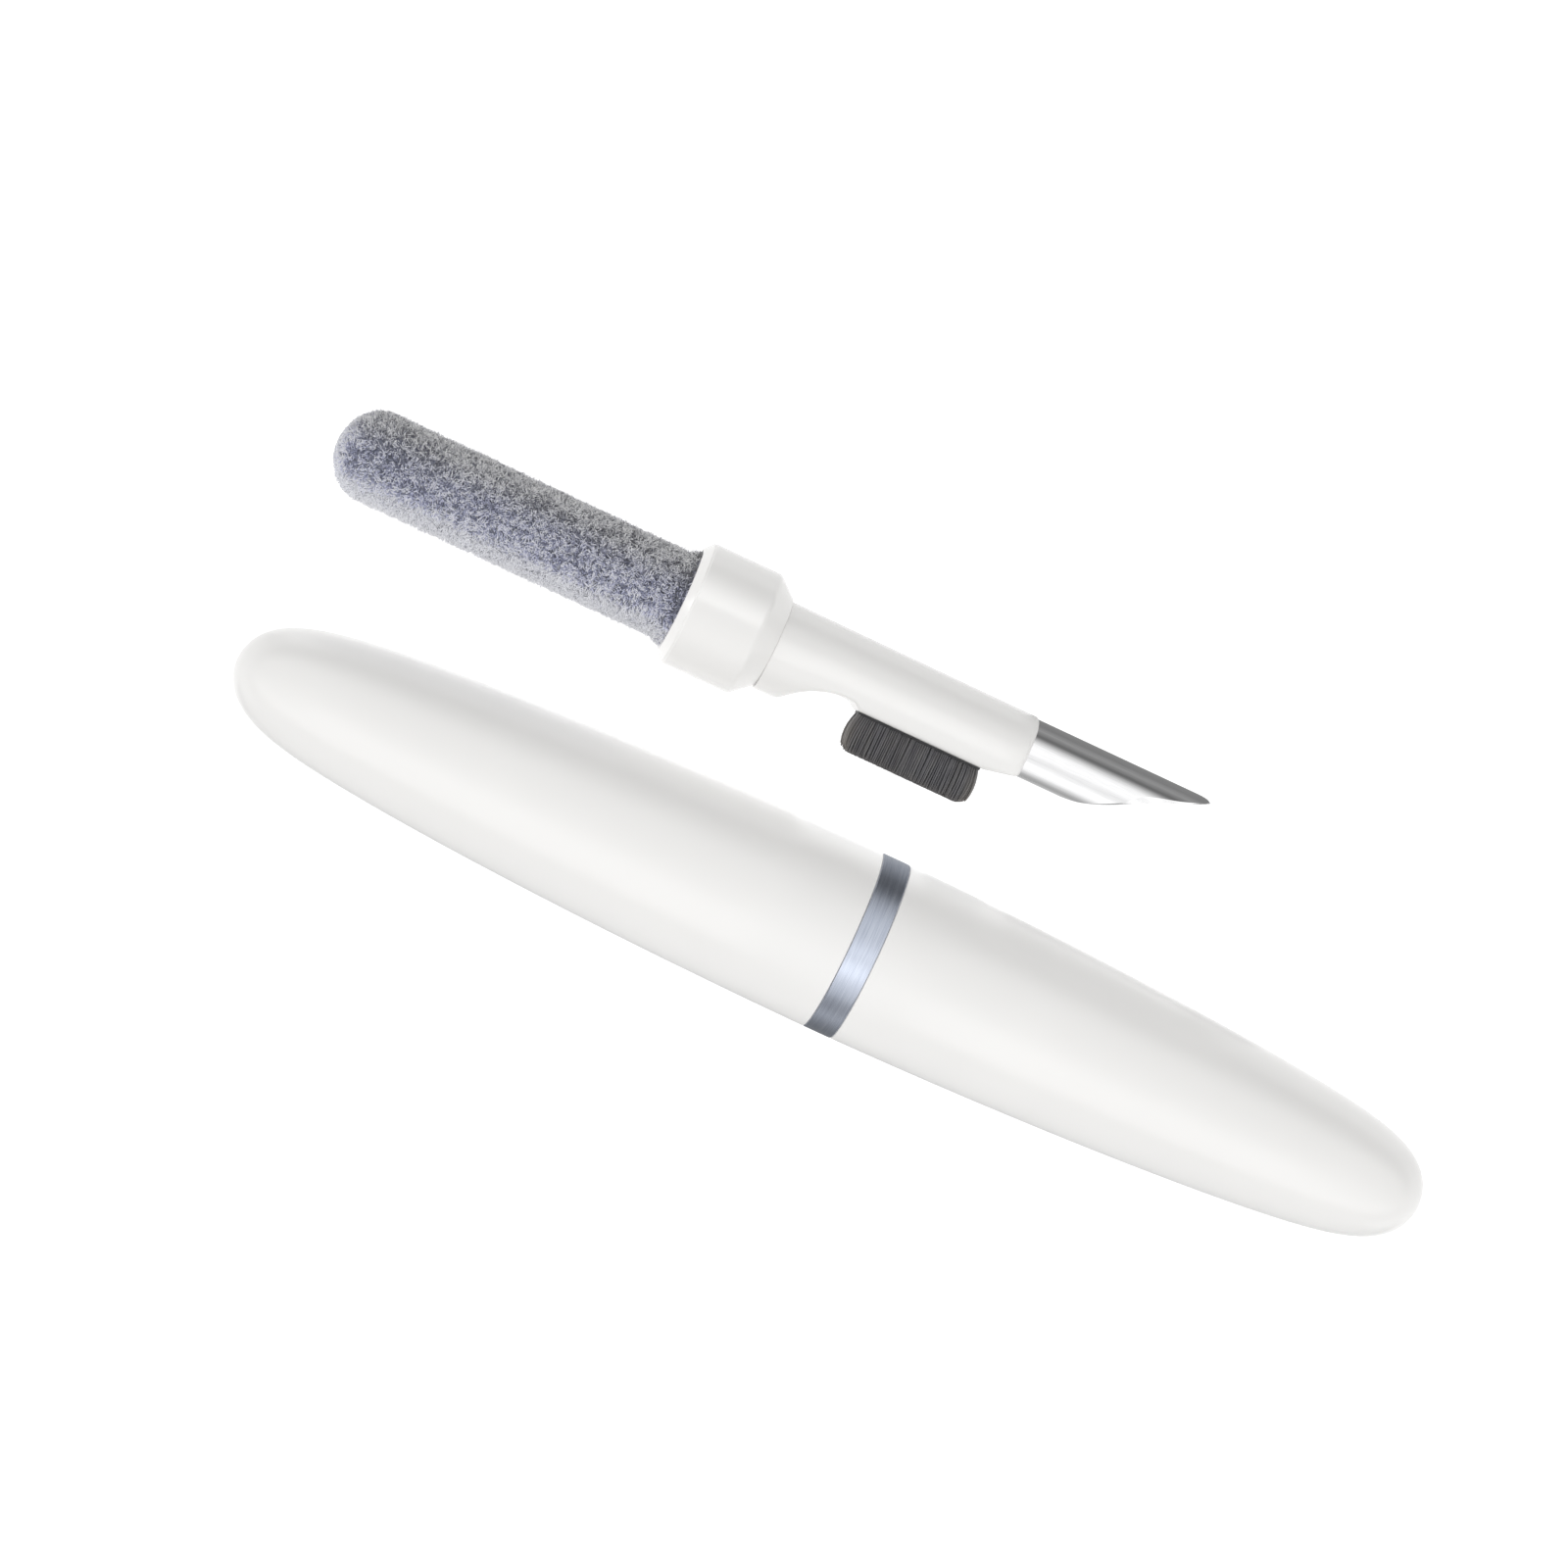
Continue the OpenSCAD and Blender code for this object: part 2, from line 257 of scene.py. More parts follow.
# collar: chamfered lip at the swab, bevel down to the barrel, holes for the stem and the barrel's tenon
collar = lathe("collar_body", fillet(on_tool([
    (U_COL + 4.5, 0.0), (U_COL + 4.5, 1.6, 0.1), (U_COL, 1.6, 0.1), (U_COL, COL_R - 0.86, 0.12),
    (U_COL + 0.72, COL_R - 0.06, 0.10), (U_COL + 0.84, COL_R - 0.05, 0.02), (U_COL + 0.93, COL_R, 0.06),
    (U_BAR - 1.95, COL_R, 0.75), (U_BAR - 0.03, BRL_R + 0.2, 0.05), (U_BAR, BRL_R + 0.13, 0.03), (U_BAR, 3.0, 0.1), (U_BAR - 4.0, 3.0, 0.1), (U_BAR - 4.0, 0.0)]), n=8), TOOL_Y, TOOL_Z, 224)


def under_line():
    """Height of the barrel's underside: scoop, step up to the brush pad, bevel to the nose, with eased corners."""
    r = 7.4
    su, sv = U_PAD - BRUSH_L / 2 - 1.5, PAD_V - 0.6
    a = np.radians(np.linspace(58, 0, 60))
    pts = list(zip(su - r * np.sin(a), sv + r * (1 - np.cos(a))))
    pts += [(su + 0.7, sv + 0.05), (U_PAD - BRUSH_L / 2 - 0.15, PAD_V), (U_PAD + BRUSH_L / 2 + 0.25, PAD_V),
            (U_NOSE, 1.74), (U_NOSE + 1, 1.5)]
    pts = [(pts[0][0] - 8, pts[0][1] + 9)] + pts
    P = np.array(pts)
    u = np.arange(U_BAR - 1, U_NOSE + 1, 0.02)
    v = np.interp(u, P[:, 0], P[:, 1])
    k = np.hanning(27)
    k /= k.sum()
    vs = np.convolve(np.pad(v, 13, mode="edge"), k, mode="valid")
    return u, vs


UL_U, UL_V = under_line()


def barrel_piece():
    seg = 224
    phi = np.arange(seg) * 2 * math.pi / seg          # 0 is towards the brush
    c, s = np.cos(phi), np.sin(phi)
    rho = 0.62                                        # nose rounding
    us = [U_BAR + 0.0, U_BAR + 0.012, U_BAR + 0.03, U_BAR + 0.055, U_BAR + 0.09, U_BAR + 0.18]
    us += list(np.arange(U_BAR + 0.3, U_NOSE - rho, 0.14))
    us += [U_NOSE - rho + rho * math.sin(math.pi / 2 * k / 12) for k in range(13)]
    rows = []
    for u in us:
        R = BRL_R - 0.10 * unit((u - U_BAR) / 25.4)
        g = unit((u - U_BAR) / 0.09)
        R -= 0.075 * (1 - math.sqrt(max(0.0, 1 - (1 - g) ** 2))) if g < 1 else 0.0
        d = u - (U_NOSE - rho)
        nose = 0.0
        if d > 0:
            nose = rho - math.sqrt(max(0.0, rho * rho - d * d))
        fair = 0.42 * (1 - unit((u - U_BAR - 2.2) / 3.4) ** 2 * (3 - 2 * unit((u - U_BAR - 2.2) / 3.4)))
        base = R + fair * ((1 + c) / 2) ** 2.2
        h = float(np.interp(u, UL_U, UL_V))
        hc = np.where(c > 0.05, h / np.maximum(c, 0.05), 1e3)
        p = 26.0
        r = (base ** -p + hc ** -p) ** (-1 / p)
        r = np.maximum(r - nose * (0.35 + 0.65 * np.clip((r - 1.7) / 2.0, 0, 1)), 0.3)
        rows.append(np.stack([np.full(seg, u), r * c, r * s], 1))
    # tenon at the collar end
    ten = []
    for u, rr in ((U_BAR - 4.0, 2.75), (U_BAR - 3.93, 2.88), (U_BAR - 3.75, 3.0), (U_BAR - 0.02, 3.0), (U_BAR, 3.05)):
        ten.append(np.stack([np.full(seg, u), rr * c, rr * s], 1))
    # shank bore, off the axis and away from the brush
    bore = []
    for u, rr in ((U_NOSE, 1.98), (U_NOSE - 0.08, 1.9), (U_NOSE - 6.0, 1.9)):
        bore.append(np.stack([np.full(seg, u), -NIB_OFF + rr * c, rr * s], 1))
    allr = ten + rows + bore
    V = np.vstack(allr)
    m = len(allr)
    i, j = np.meshgrid(np.arange(m - 1), np.arange(seg), indexing="ij")
    j2 = (j + 1) % seg
    F = np.stack([i * seg + j, (i + 1) * seg + j, (i + 1) * seg + j2, i * seg + j2], -1).reshape(-1, 4).tolist()
    V = np.vstack([V, [[U_BAR - 4.0, 0, 0], [U_NOSE - 6.0, -NIB_OFF, 0]]])
    a, b = m * seg, m * seg + 1
    F += [[a, k, (k + 1) % seg] for k in range(seg)]
    F += [[b, (m - 1) * seg + (k + 1) % seg, (m - 1) * seg + k] for k in range(seg)]
    W = np.stack([U0 + V[:, 0], TOOL_Y - V[:, 1], TOOL_Z + V[:, 2]], 1)
    ob = make("barrel_body", W, F, 28)
    outward(ob)
    return ob


barrel = barrel_piece()


def smooth_curve(P, n):
    """A C1 curve through control points, as (n, 2) points."""
    P = np.array(P, float)
    t = np.r_[0, np.cumsum(np.linalg.norm(np.diff(P, axis=0), axis=1))]
    m = np.zeros_like(P)
    m[1:-1] = (P[2:] - P[:-2]) / (t[2:] - t[:-2])[:, None]
    m[0] = (P[1] - P[0]) / (t[1] - t[0])
    m[-1] = (P[-1] - P[-2]) / (t[-1] - t[-2])
    q = np.linspace(0, t[-1], n)
    k = np.clip(np.searchsorted(t, q, side="right") - 1, 0, len(t) - 2)
    h = (t[k + 1] - t[k])[:, None]
    s = ((q - t[k]) / (t[k + 1] - t[k]))[:, None]
    return ((2 * s ** 3 - 3 * s ** 2 + 1) * P[k] + (s ** 3 - 2 * s ** 2 + s) * h * m[k]
            + (-2 * s ** 3 + 3 * s ** 2) * P[k + 1] + (s ** 3 - s ** 2) * h * m[k + 1])


def nib_piece():
    seg = 192
    r = NIB_R
    vc = -NIB_OFF
    # cut line on the side view: from the round shank's lower edge, easing into the slant, to the rounded point
    ta = math.tan(math.radians(27))
    u_b = U_TIP - (2 * r - 0.45) / ta
    ctrl = [(u_b - 2.6, vc + r), (u_b - 1.2, vc + r - 0.16), (u_b + 0.35, vc + r - 0.66), (u_b + 2.0, vc + r - 1.42),
            (u_b + 4.0, vc + r - 2.44), (u_b + 6.0, vc + r - 3.46), (U_TIP - 2.2, vc - r + 1.42),
            (U_TIP - 0.75, vc - r + 0.76), (U_TIP - 0.1, vc - r + 0.46), (U_TIP - 0.0, vc - r + 0.33),
            (U_TIP - 0.12, vc - r + 0.18), (U_TIP - 0.5, vc - r + 0.06), (U_TIP - 1.1, vc - r)]
    C = smooth_curve(ctrl, 900)
    o = np.argsort(C[:, 1])
    cv, cu = C[o, 1], C[o, 0]
    phi = np.arange(seg) * 2 * math.pi / seg
    v = vc + r * np.cos(phi)
    z = r * np.sin(phi)
    ue = np.interp(v, cv, cu)
    start = U_NOSE - 0.75
    rows = []
    for u, rr in ((U_NOSE - 5.9, 1.6), (U_NOSE - 5.65, 1.86), (U_NOSE - 5.5, 1.88), (start, 1.88)):
        rows.append(np.stack([np.full(seg, u), vc + rr * np.cos(phi), rr * np.sin(phi)], 1))
    turn = np.degrees(np.minimum(phi, 2 * math.pi - phi))          # 0 at the heel of the cut, 180 at the point
    facet = np.exp(-((turn - 100) / 21.0) ** 2)
    ground = 0.18 + 0.30 * facet                       # depth of the stoned edge round the cut
    v_in = vc + (r - ground) * np.cos(phi)
    z_in = (r - ground) * np.sin(phi)
    lap = 0.26 * np.clip(np.sin(phi) ** 2 * 1.6, 0, 1) + 0.05 + 1.05 * facet
    ts = np.r_[0, np.linspace(0.02, 1, 60)]
    for t in ts:
        rows.append(np.stack([start + (ue - lap - start) * t, v, z], 1))
    rows.append(np.stack([np.minimum(np.interp(v_in, cv, cu), U_TIP - 0.02), v_in, z_in], 1))
    V = np.vstack(rows)
    m = len(rows)
    i, j = np.meshgrid(np.arange(m - 1), np.arange(seg), indexing="ij")
    j2 = (j + 1) % seg
    F = np.stack([i * seg + j, (i + 1) * seg + j, (i + 1) * seg + j2, i * seg + j2], -1).reshape(-1, 4).tolist()
    pole = len(V)
    V = np.vstack([V, [[U_NOSE - 5.9, vc, 0]]])
    F += [[pole, k, (k + 1) % seg] for k in range(seg)]
    # the ground face: strips across the width, from the bottom (phi 0) to the top (phi 180)
    last = (m - 1) * seg
    half = seg // 2
    inner = 7
    prev = None
    V = V.tolist()
    for k in range(0, half + 1):
        a, b = last + k, last + (seg - k) % seg
        if a == b:
            cur = [a]
        else:
            A, B = np.array(V[a]), np.array(V[b])
            cur = [a]
            for q in range(1, inner + 1):
                V.append((A + (B - A) * q / (inner + 1)).tolist())
                cur.append(len(V) - 1)
            cur.append(b)
        if prev is not None:
            if len(prev) == 1:
                F += [[prev[0], cur[q + 1], cur[q]] for q in range(len(cur) - 1)]
            elif len(cur) == 1:
                F += [[prev[q], prev[q + 1], cur[0]] for q in range(len(prev) - 1)]
            else:
                F += [[prev[q], prev[q + 1], cur[q + 1], cur[q]] for q in range(len(cur) - 1)]
        prev = cur
    V = np.array(V)
    W = np.stack([U0 + V[:, 0], TOOL_Y - V[:, 1], TOOL_Z + V[:, 2]], 1)
    ob = make("nib_body", W, F, 24)
    g = np.zeros(len(V), np.float32)
    g[last:last + seg] = 1.0
    g[pole + 1:] = 1.0
    at = ob.data.attributes.new("ground", "FLOAT", "POINT")
    at.data.foreach_set("value", g)
    outward(ob)
    return ob


nib = nib_piece()


def brush_strip():
    """The strip that clamps the bristles' roots: a low bar with rounded ends and edges, seated in the pad."""
    hl, hw = BRUSH_L / 2, BRUSH_W / 2
    n = 10
    rc = 0.55

    def outline(inset):
        pts = []
        for cx, cz, a0 in ((hl - rc, hw - rc, 0), (-hl + rc, hw - rc, 90), (-hl + rc, -hw + rc, 180), (hl - rc, -hw + rc, 270)):
            for k in range(n + 1):
                a = math.radians(a0 + 90 * k / n)
                pts.append((cx + (rc - inset) * math.cos(a), cz + (rc - inset) * math.sin(a)))
        return pts
    levels = [(PAD_V - 0.9, 0.0), (PAD_V + 0.16, 0.0), (PAD_V + 0.21, 0.02), (PAD_V + 0.245, 0.07), (PAD_V + 0.25, 0.13)]
    V, F = [], []
    for v, inset in levels:
        for a, b in outline(inset):
            V.append((U0 + U_PAD + a, TOOL_Y - v, TOOL_Z + b))
    k = len(outline(0))
    for i in range(len(levels) - 1):
        for j in range(k):
            F.append([i * k + j, i * k + (j + 1) % k, (i + 1) * k + (j + 1) % k, (i + 1) * k + j])
    V.append((U0 + U_PAD, TOOL_Y - levels[0][0], TOOL_Z))
    V.append((U0 + U_PAD, TOOL_Y - levels[-1][0], TOOL_Z))
    a, b = len(V) - 2, len(V) - 1
    for j in range(k):
        F.append([a, (j + 1) % k, j])
        F.append([b, (len(levels) - 1) * k + j, (len(levels) - 1) * k + (j + 1) % k])
    ob = make("brush_strip", V, F, 40)
    outward(ob)
    return ob


strip = brush_strip()


def bristles():
    """Separate tapered filaments, packed in staggered rows, that bulge a little at the block's sides and are trimmed level."""
    dx = 0.205
    nx = int((BRUSH_L - 0.34) / dx)
    nz = int((BRUSH_W - 0.30) / (dx * 0.87))
    sides, levels = 5, 5
    V, F, E = [], [], []
    top = BRUSH_V - 0.02
    v0 = PAD_V + 0.18
    for iz in range(nz + 1):
        for ix in range(nx + 1):
            a = -1 + 2 * (ix + 0.5 * (iz % 2)) / nx
            b = -1 + 2 * iz / nz
            if a > 1.0:
                continue
            pu = a * (BRUSH_L / 2 - 0.2) + RNG.normal(0, 0.025)
            pz = b * (BRUSH_W / 2 - 0.18) + RNG.normal(0, 0.025)
            rad = 0.088 + RNG.uniform(-0.012, 0.012)
            ends = max(0.0, abs(a) - 0.86) / 0.14
            sd = max(0.0, abs(b) - 0.8) / 0.2
            tip = top - 0.05 - abs(RNG.normal(0, 0.055)) - 0.5 * ends ** 2.0 - 0.10 * sd ** 2
            if abs(pu - 4.05) < 0.22 and RNG.uniform() < 0.8:      # the small gap in the trimmed edge
                tip -= 0.2 + 0.16 * RNG.uniform()
            if RNG.uniform() < 0.012:
                tip = min(top, tip + 0.04)
            lean_u = RNG.normal(0, 0.05) + 0.04 * a
            lean_z = RNG.normal(0, 0.045) + 0.05 * b
            bulge_u = math.copysign(0.34 * abs(a) ** 5, a)
            bulge_z = math.copysign(0.16 * abs(b) ** 4, b)
            th0 = RNG.uniform(0, 2 * math.pi)
            base = len(V)
            for k in range(levels + 1):
                t = k / levels
                w = math.sin(math.pi * min(1.0, t * 0.86 + 0.02)) ** 0.9
                cu = pu + lean_u * t * t + bulge_u * w
                cz = pz + lean_z * t * t + bulge_z * w
                vv = v0 + (tip - v0) * t
                rr = rad * (1 - 0.12 * t) * (0.62 if k == levels else 1)
                if k == levels:
                    vv_e = vv
                for q in range(sides):
                    th = th0 + 2 * math.pi * q / sides
                    V.append((U0 + U_PAD + cu + rr * math.cos(th), TOOL_Y - vv, TOOL_Z + cz + rr * math.sin(th)))
                    E.append(0.9 * max(0.0, (abs(a) - 0.87) / 0.13) * min(1.0, 1.6 * t) + 0.30 * max(0.0, (t - 0.86) / 0.14))
            for k in range(levels):
                for q in range(sides):
                    q2 = (q + 1) % sides
                    F.append([base + k * sides + q, base + k * sides + q2, base + (k + 1) * sides + q2, base + (k + 1) * sides + q])
            F.append([base + q for q in range(sides)][::-1])
            F.append([base + levels * sides + q for q in range(sides)])
    ob = make("brush_filaments", V, F, 50)
    at = ob.data.attributes.new("end", "FLOAT", "POINT")
    at.data.foreach_set("value", np.array(E, np.float32))
    outward(ob)
    return ob


brist = bristles()


# swab: foam core, a felt-like under layer, and two coats of separate flock fibres
def swab_r(u, r0, dome):
    """Radius of a round-ended rod at u, tapering slightly towards the collar."""
    if u < dome:
        t = unit(u / dome)
        return r0 * math.sqrt(max(0.0, 1 - (1 - t) ** 2)) ** 0.97
    return r0 - 0.15 * unit((u - dome) / (U_COL - dome))


def swab_profile(start, r0, dome, end, steps=70):
    pts = [(start, 0.0)]
    for k in range(1, 26):
        u = dome * (1 - math.cos(math.pi / 2 * k / 25))
        pts.append((start + u, swab_r(u, r0, dome)))
    for k in range(1, steps + 1):
        u = dome + (end - start - dome) * k / steps
        pts.append((start + u, swab_r(u, r0, dome)))
    return pts


foam = lathe("swab_foam_core", fillet(on_tool(
    swab_profile(0.62, 3.80, 3.1, U_COL - 0.02, 40)
    + [(U_COL - 0.02, 1.62, 0.05), (2.4, 1.62), (2.25, 1.2), (2.25, 0.0)])), TOOL_Y, TOOL_Z, 128)


def flock_base():
    seg = 200
    outer = swab_profile(0.42, 4.02, 3.4, U_COL - 0.95, 170)
    outer += [(U_COL - 0.95 + 0.95 * k / 8, swab_r(U_COL - 1, 4.02, 3.4) + 0.72 * (k / 8) ** 1.3) for k in range(1, 9)]
    inner = [(U_COL, 3.72)] + [(U_COL - (U_COL - 3.8) * k / 12, 3.72) for k in range(1, 13)]
    inner += [(0.62 + 3.1 * (1 - math.sin(math.pi / 2 * k / 10)), 3.80 * math.cos(math.pi / 2 * k / 10)) for k in range(1, 10)]
    prof = outer + inner + [(0.62, 0.0)]
    ob = lathe("flock_felt", on_tool(prof), TOOL_Y, TOOL_Z, seg, sharp=60)
    # uneven felt: small lumps on the outer side
    me = ob.data
    co = np.empty(len(me.vertices) * 3)
    me.vertices.foreach_get("co", co)
    co = co.reshape(-1, 3) / MM
    rel = co - np.array([0, TOOL_Y, TOOL_Z])
    rr = np.hypot(rel[:, 1], rel[:, 2])
    g = np.random.default_rng(77)
    d = np.zeros(len(co))
    for f, amp in ((2.2, 0.022), (4.6, 0.02), (8.0, 0.014)):
        for _ in range(6):
            k = g.normal(0, f, 3)
            d += amp * np.sin(co @ k + g.uniform(0, 6.28)) / 2.2
    mask = (rr > 3.9) & (co[:, 0] < U0 + U_COL - 0.3)
    dirs = np.zeros_like(rel)
    dirs[:, 1:] = rel[:, 1:] / np.maximum(rr, 1e-6)[:, None]
    co = co + dirs * (d * mask)[:, None]
    me.vertices.foreach_set("co", (co * MM).astype(np.float32).ravel())
    me.update()
    return ob


felt = flock_base()


def flock_out(u):
    """Radius that most fibre tips reach."""
    lim = np.where(u < 3.9, SWAB_R * np.sqrt(np.maximum(0.0, 1 - (1 - np.clip(u / 3.9, 0, 1)) ** 2)),
                   SWAB_R - 0.15 * np.clip((u - 3.9) / (U_COL - 3.9), 0, 1))
    return lim + 0.66 * np.clip((u - (U_COL - 1.15)) / 1.15, 0, 1) ** 1.1


def fibres(name, tufts, per, seed, low, high, width, spread):
    """Flock: thin closed spikes that stand on the felt in small leaning tufts; their colour is darkened at the root by
    painted shade and pale at the tip.
    """
    g = np.random.default_rng(seed)
    dome, r0 = 3.5, 3.95
    # places over the rounded end and the rod, evenly by area; pole of the dome at u = 0.42
    area_d, area_r = 2 * math.pi * dome * r0 * 0.92, 2 * math.pi * r0 * (U_COL - 0.42 - dome)
    nd = int(tufts * area_d / (area_d + area_r))
    nr = tufts - nd
    cb = g.uniform(0, 1, nd)
    nx = np.r_[-cb, np.zeros(nr)]
    u = np.r_[0.42 + dome * (1 - cb), g.uniform(0.42 + dome, U_COL - 0.06, nr)]
    br = np.r_[r0 * np.sqrt(1 - cb ** 2), r0 - 0.14 * np.linspace(0, 0, nr)]
    br = br + 0.6 * np.clip((u - (U_COL - 1.0)) / 1.0, 0, 1) ** 1.2
    th = g.uniform(0, 2 * math.pi, tufts)
    ct, sn = np.cos(th), np.sin(th)
    C = np.stack([u, br * ct, br * sn], 1)
    nrm = np.sqrt(1 - nx ** 2)
    N = np.stack([nx, nrm * ct, nrm * sn], 1)
    T1 = np.stack([np.zeros(tufts), -sn, ct], 1)
    T2 = np.cross(N, T1)
    lean = g.normal(0, 0.62, (tufts, 2))
    for c in range(2):
        for _ in range(5):
            k = g.normal(0, 1.5, 3)
            lean[:, c] += 0.16 * np.sin(C @ k + g.uniform(0, 6.28))
    tone = np.where(g.uniform(0, 1, tufts) < 0.41, g.uniform(0.82, 1.10, tufts), g.uniform(-0.05, 0.42, tufts))
    tall = g.uniform(low, high, tufts) * (0.8 + 0.35 * tone)
    # fibres of each tuft
    n = tufts * per
    I = np.repeat(np.arange(tufts), per)
    off = g.normal(0, spread, (n, 2))
    P = C[I] + T1[I] * off[:, :1] + T2[I] * off[:, 1:]
    own = g.normal(0, 0.30, (n, 2))
    D = N[I] + T1[I] * (lean[I, :1] + own[:, :1] - 0.5 * off[:, :1]) + T2[I] * (lean[I, 1:] + own[:, 1:] - 0.5 * off[:, 1:])
    D /= np.linalg.norm(D, axis=1)[:, None]
    L = tall[I] * g.uniform(0.75, 1.15, n)
    tip = P + D * L[:, None]
    lim = flock_out(tip[:, 0]) + np.clip(g.normal(-0.03, 0.11, n), -0.30, 0.26)
    tr = np.hypot(tip[:, 1], tip[:, 2])
    sc = np.where(tr > lim, lim / np.maximum(tr, 1e-6), 1.0)
    tip[:, 1:] *= sc[:, None]
    tip[:, 0] = np.clip(tip[:, 0], 0.02, U_COL - 0.02)
    w = width * g.uniform(0.8, 1.2, n)
    A = np.cross(D, T1[I])
    A /= np.maximum(np.linalg.norm(A, axis=1), 1e-6)[:, None]
    B = np.cross(D, A)
    V = np.empty((n, 6, 3))
    rot = g.uniform(0, 2 * math.pi, n)
    for k in range(3):
        a = rot + 2 * math.pi * k / 3
        ring_k = (A * np.cos(a)[:, None] + B * np.sin(a)[:, None]) * w[:, None]
        V[:, k] = P - D * 0.06 + ring_k
        V[:, 3 + k] = tip + 0.55 * ring_k
    V[:, :, 0] = np.clip(V[:, :, 0], 0.01, U_COL - 0.01)
    V[:, :, 0] += U0
    V[:, :, 1] = TOOL_Y - V[:, :, 1]
    V[:, :, 2] = TOOL_Z + V[:, :, 2]
    idx = np.arange(n)[:, None] * 6
    F = []
    for k in range(3):
        q = (k + 1) % 3
        F += [idx + [k, q, 3 + q], idx + [k, 3 + q, 3 + k]]
    F += [idx + [0, 2, 1], idx + [3, 4, 5]]
    ob = make(name, V.reshape(-1, 3), np.concatenate(F, 0), None)
    tone_root_shade = np.empty((n, 6), np.float32)
    tt = np.clip(tone[I] + g.normal(0, 0.12, n), -0.1, 1.1)
    # painted shade: the root end of each fibre is given a much darker tone than its tip
    tone_root_shade[:, :3] = (0.03 + tt * 0.26)[:, None]
    tone_root_shade[:, 3:] = (0.23 + 0.80 * tt)[:, None]
    at = ob.data.attributes.new("tone", "FLOAT", "POINT")
    at.data.foreach_set("value", tone_root_shade.ravel())
    outward(ob)
    return ob


flock_a = fibres("flock_fibres_long", 6120, 4, 5, 0.48, 0.74, 0.058, 0.118)
flock_b = fibres("flock_fibres_short", 6120, 4, 9, 0.30, 0.54, 0.062, 0.122)
flock_c = fibres("flock_fibres_mid", 6120, 4, 13, 0.40, 0.66, 0.058, 0.120)


# ---------------------------------------------------------------- materials
def material(name):
    m = bpy.data.materials.new(name)
    m.use_nodes = True
    nt = m.node_tree
    nt.nodes.clear()
    out = nt.nodes.new("ShaderNodeOutputMaterial")
    b = nt.nodes.new("ShaderNodeBsdfPrincipled")
    nt.links.new(b.outputs["BSDF"], out.inputs["Surface"])
    return m, nt, b


def node(nt, kind, **props):
    n = nt.nodes.new(kind)
    for k, v in props.items():
        setattr(n, k, v)
    return n


def obj_coords(nt, scale=(1, 1, 1), loc=(0, 0, 0)):
    tc = node(nt, "ShaderNodeTexCoord")
    mp = node(nt, "ShaderNodeMapping")
    mp.inputs["Scale"].default_value = scale
    mp.inputs["Location"].default_value = loc
    nt.links.new(tc.outputs["Object"], mp.inputs["Vector"])
    return mp.outputs["Vector"]


def noise_tex(nt, vec, scale, detail=3.0, rough=0.5, dist=0.0):
    n = node(nt, "ShaderNodeTexNoise")
    n.inputs["Scale"].default_value = scale
    n.inputs["Detail"].default_value = detail
    n.inputs["Roughness"].default_value = rough
    n.inputs["Distortion"].default_value = dist
    nt.links.new(vec, n.inputs["Vector"])
    return n


def ramp(nt, fac, stops, mode="LINEAR"):
    r = node(nt, "ShaderNodeValToRGB")
    r.color_ramp.interpolation = mode
    el = r.color_ramp.elements
    while len(el) < len(stops):
        el.new(0.5)
    for e, (p, c) in zip(el, stops):
        e.position = p
        e.color = c if len(c) == 4 else (*c, 1)
    nt.links.new(fac, r.inputs["Fac"])
    return r


def map_range(nt, val, a, b, c, d):
    m = node(nt, "ShaderNodeMapRange")
    m.inputs["From Min"].default_value = a
    m.inputs["From Max"].default_value = b
    m.inputs["To Min"].default_value = c
    m.inputs["To Max"].default_value = d
    nt.links.new(val, m.inputs["Value"])
    return m.outputs["Result"]


def bump(nt, height, strength, distance, b, normal=None):
    n = node(nt, "ShaderNodeBump")
    n.inputs["Strength"].default_value = strength
    n.inputs["Distance"].default_value = distance
    nt.links.new(height, n.inputs["Height"])
    if normal is not None:
        nt.links.new(normal, n.inputs["Normal"])
    if b is not None:
        nt.links.new(n.outputs["Normal"], b.inputs["Normal"])
    return n.outputs["Normal"]


def plastic(name, col, rough=0.33, coat=0.0, spec=0.5, ior=1.5, tex=1.0):
    """Moulded white plastic: faint mottling, slightly uneven gloss and a very fine orange-peel skin."""
    m, nt, b = material(name)
    v = obj_coords(nt)
    big = noise_tex(nt, v, 90, 2, 0.5)
    c0 = tuple(x * 0.994 for x in col)
    c1 = tuple(min(1, x * 1.005) for x in col)
    rc = ramp(nt, big.outputs["Fac"], [(0.35, c0), (0.65, c1)])
    nt.links.new(rc.outputs["Color"], b.inputs["Base Color"])
    fine = noise_tex(nt, v, 700, 3, 0.55)
    nt.links.new(map_range(nt, fine.outputs["Fac"], 0.3, 0.7, rough - 0.012 * tex, rough + 0.014 * tex), b.inputs["Roughness"])
    peel = noise_tex(nt, v, 1500, 2, 0.5)
    bump(nt, peel.outputs["Fac"], 0.03 * tex, 0.000008, b)
    b.inputs["IOR"].default_value = ior
    b.inputs["Specular IOR Level"].default_value = spec
    b.inputs["Coat Weight"].default_value = coat
    b.inputs["Coat Roughness"].default_value = 0.12
    return m


M_SHELL = plastic("shell_white", (0.80, 0.793, 0.78), 0.29)
M_TOOL = plastic("tool_white", (0.80, 0.793, 0.78), 0.24)
M_SLEEVE = plastic("sleeve_white", (0.70, 0.695, 0.68), 0.5, tex=1.6)


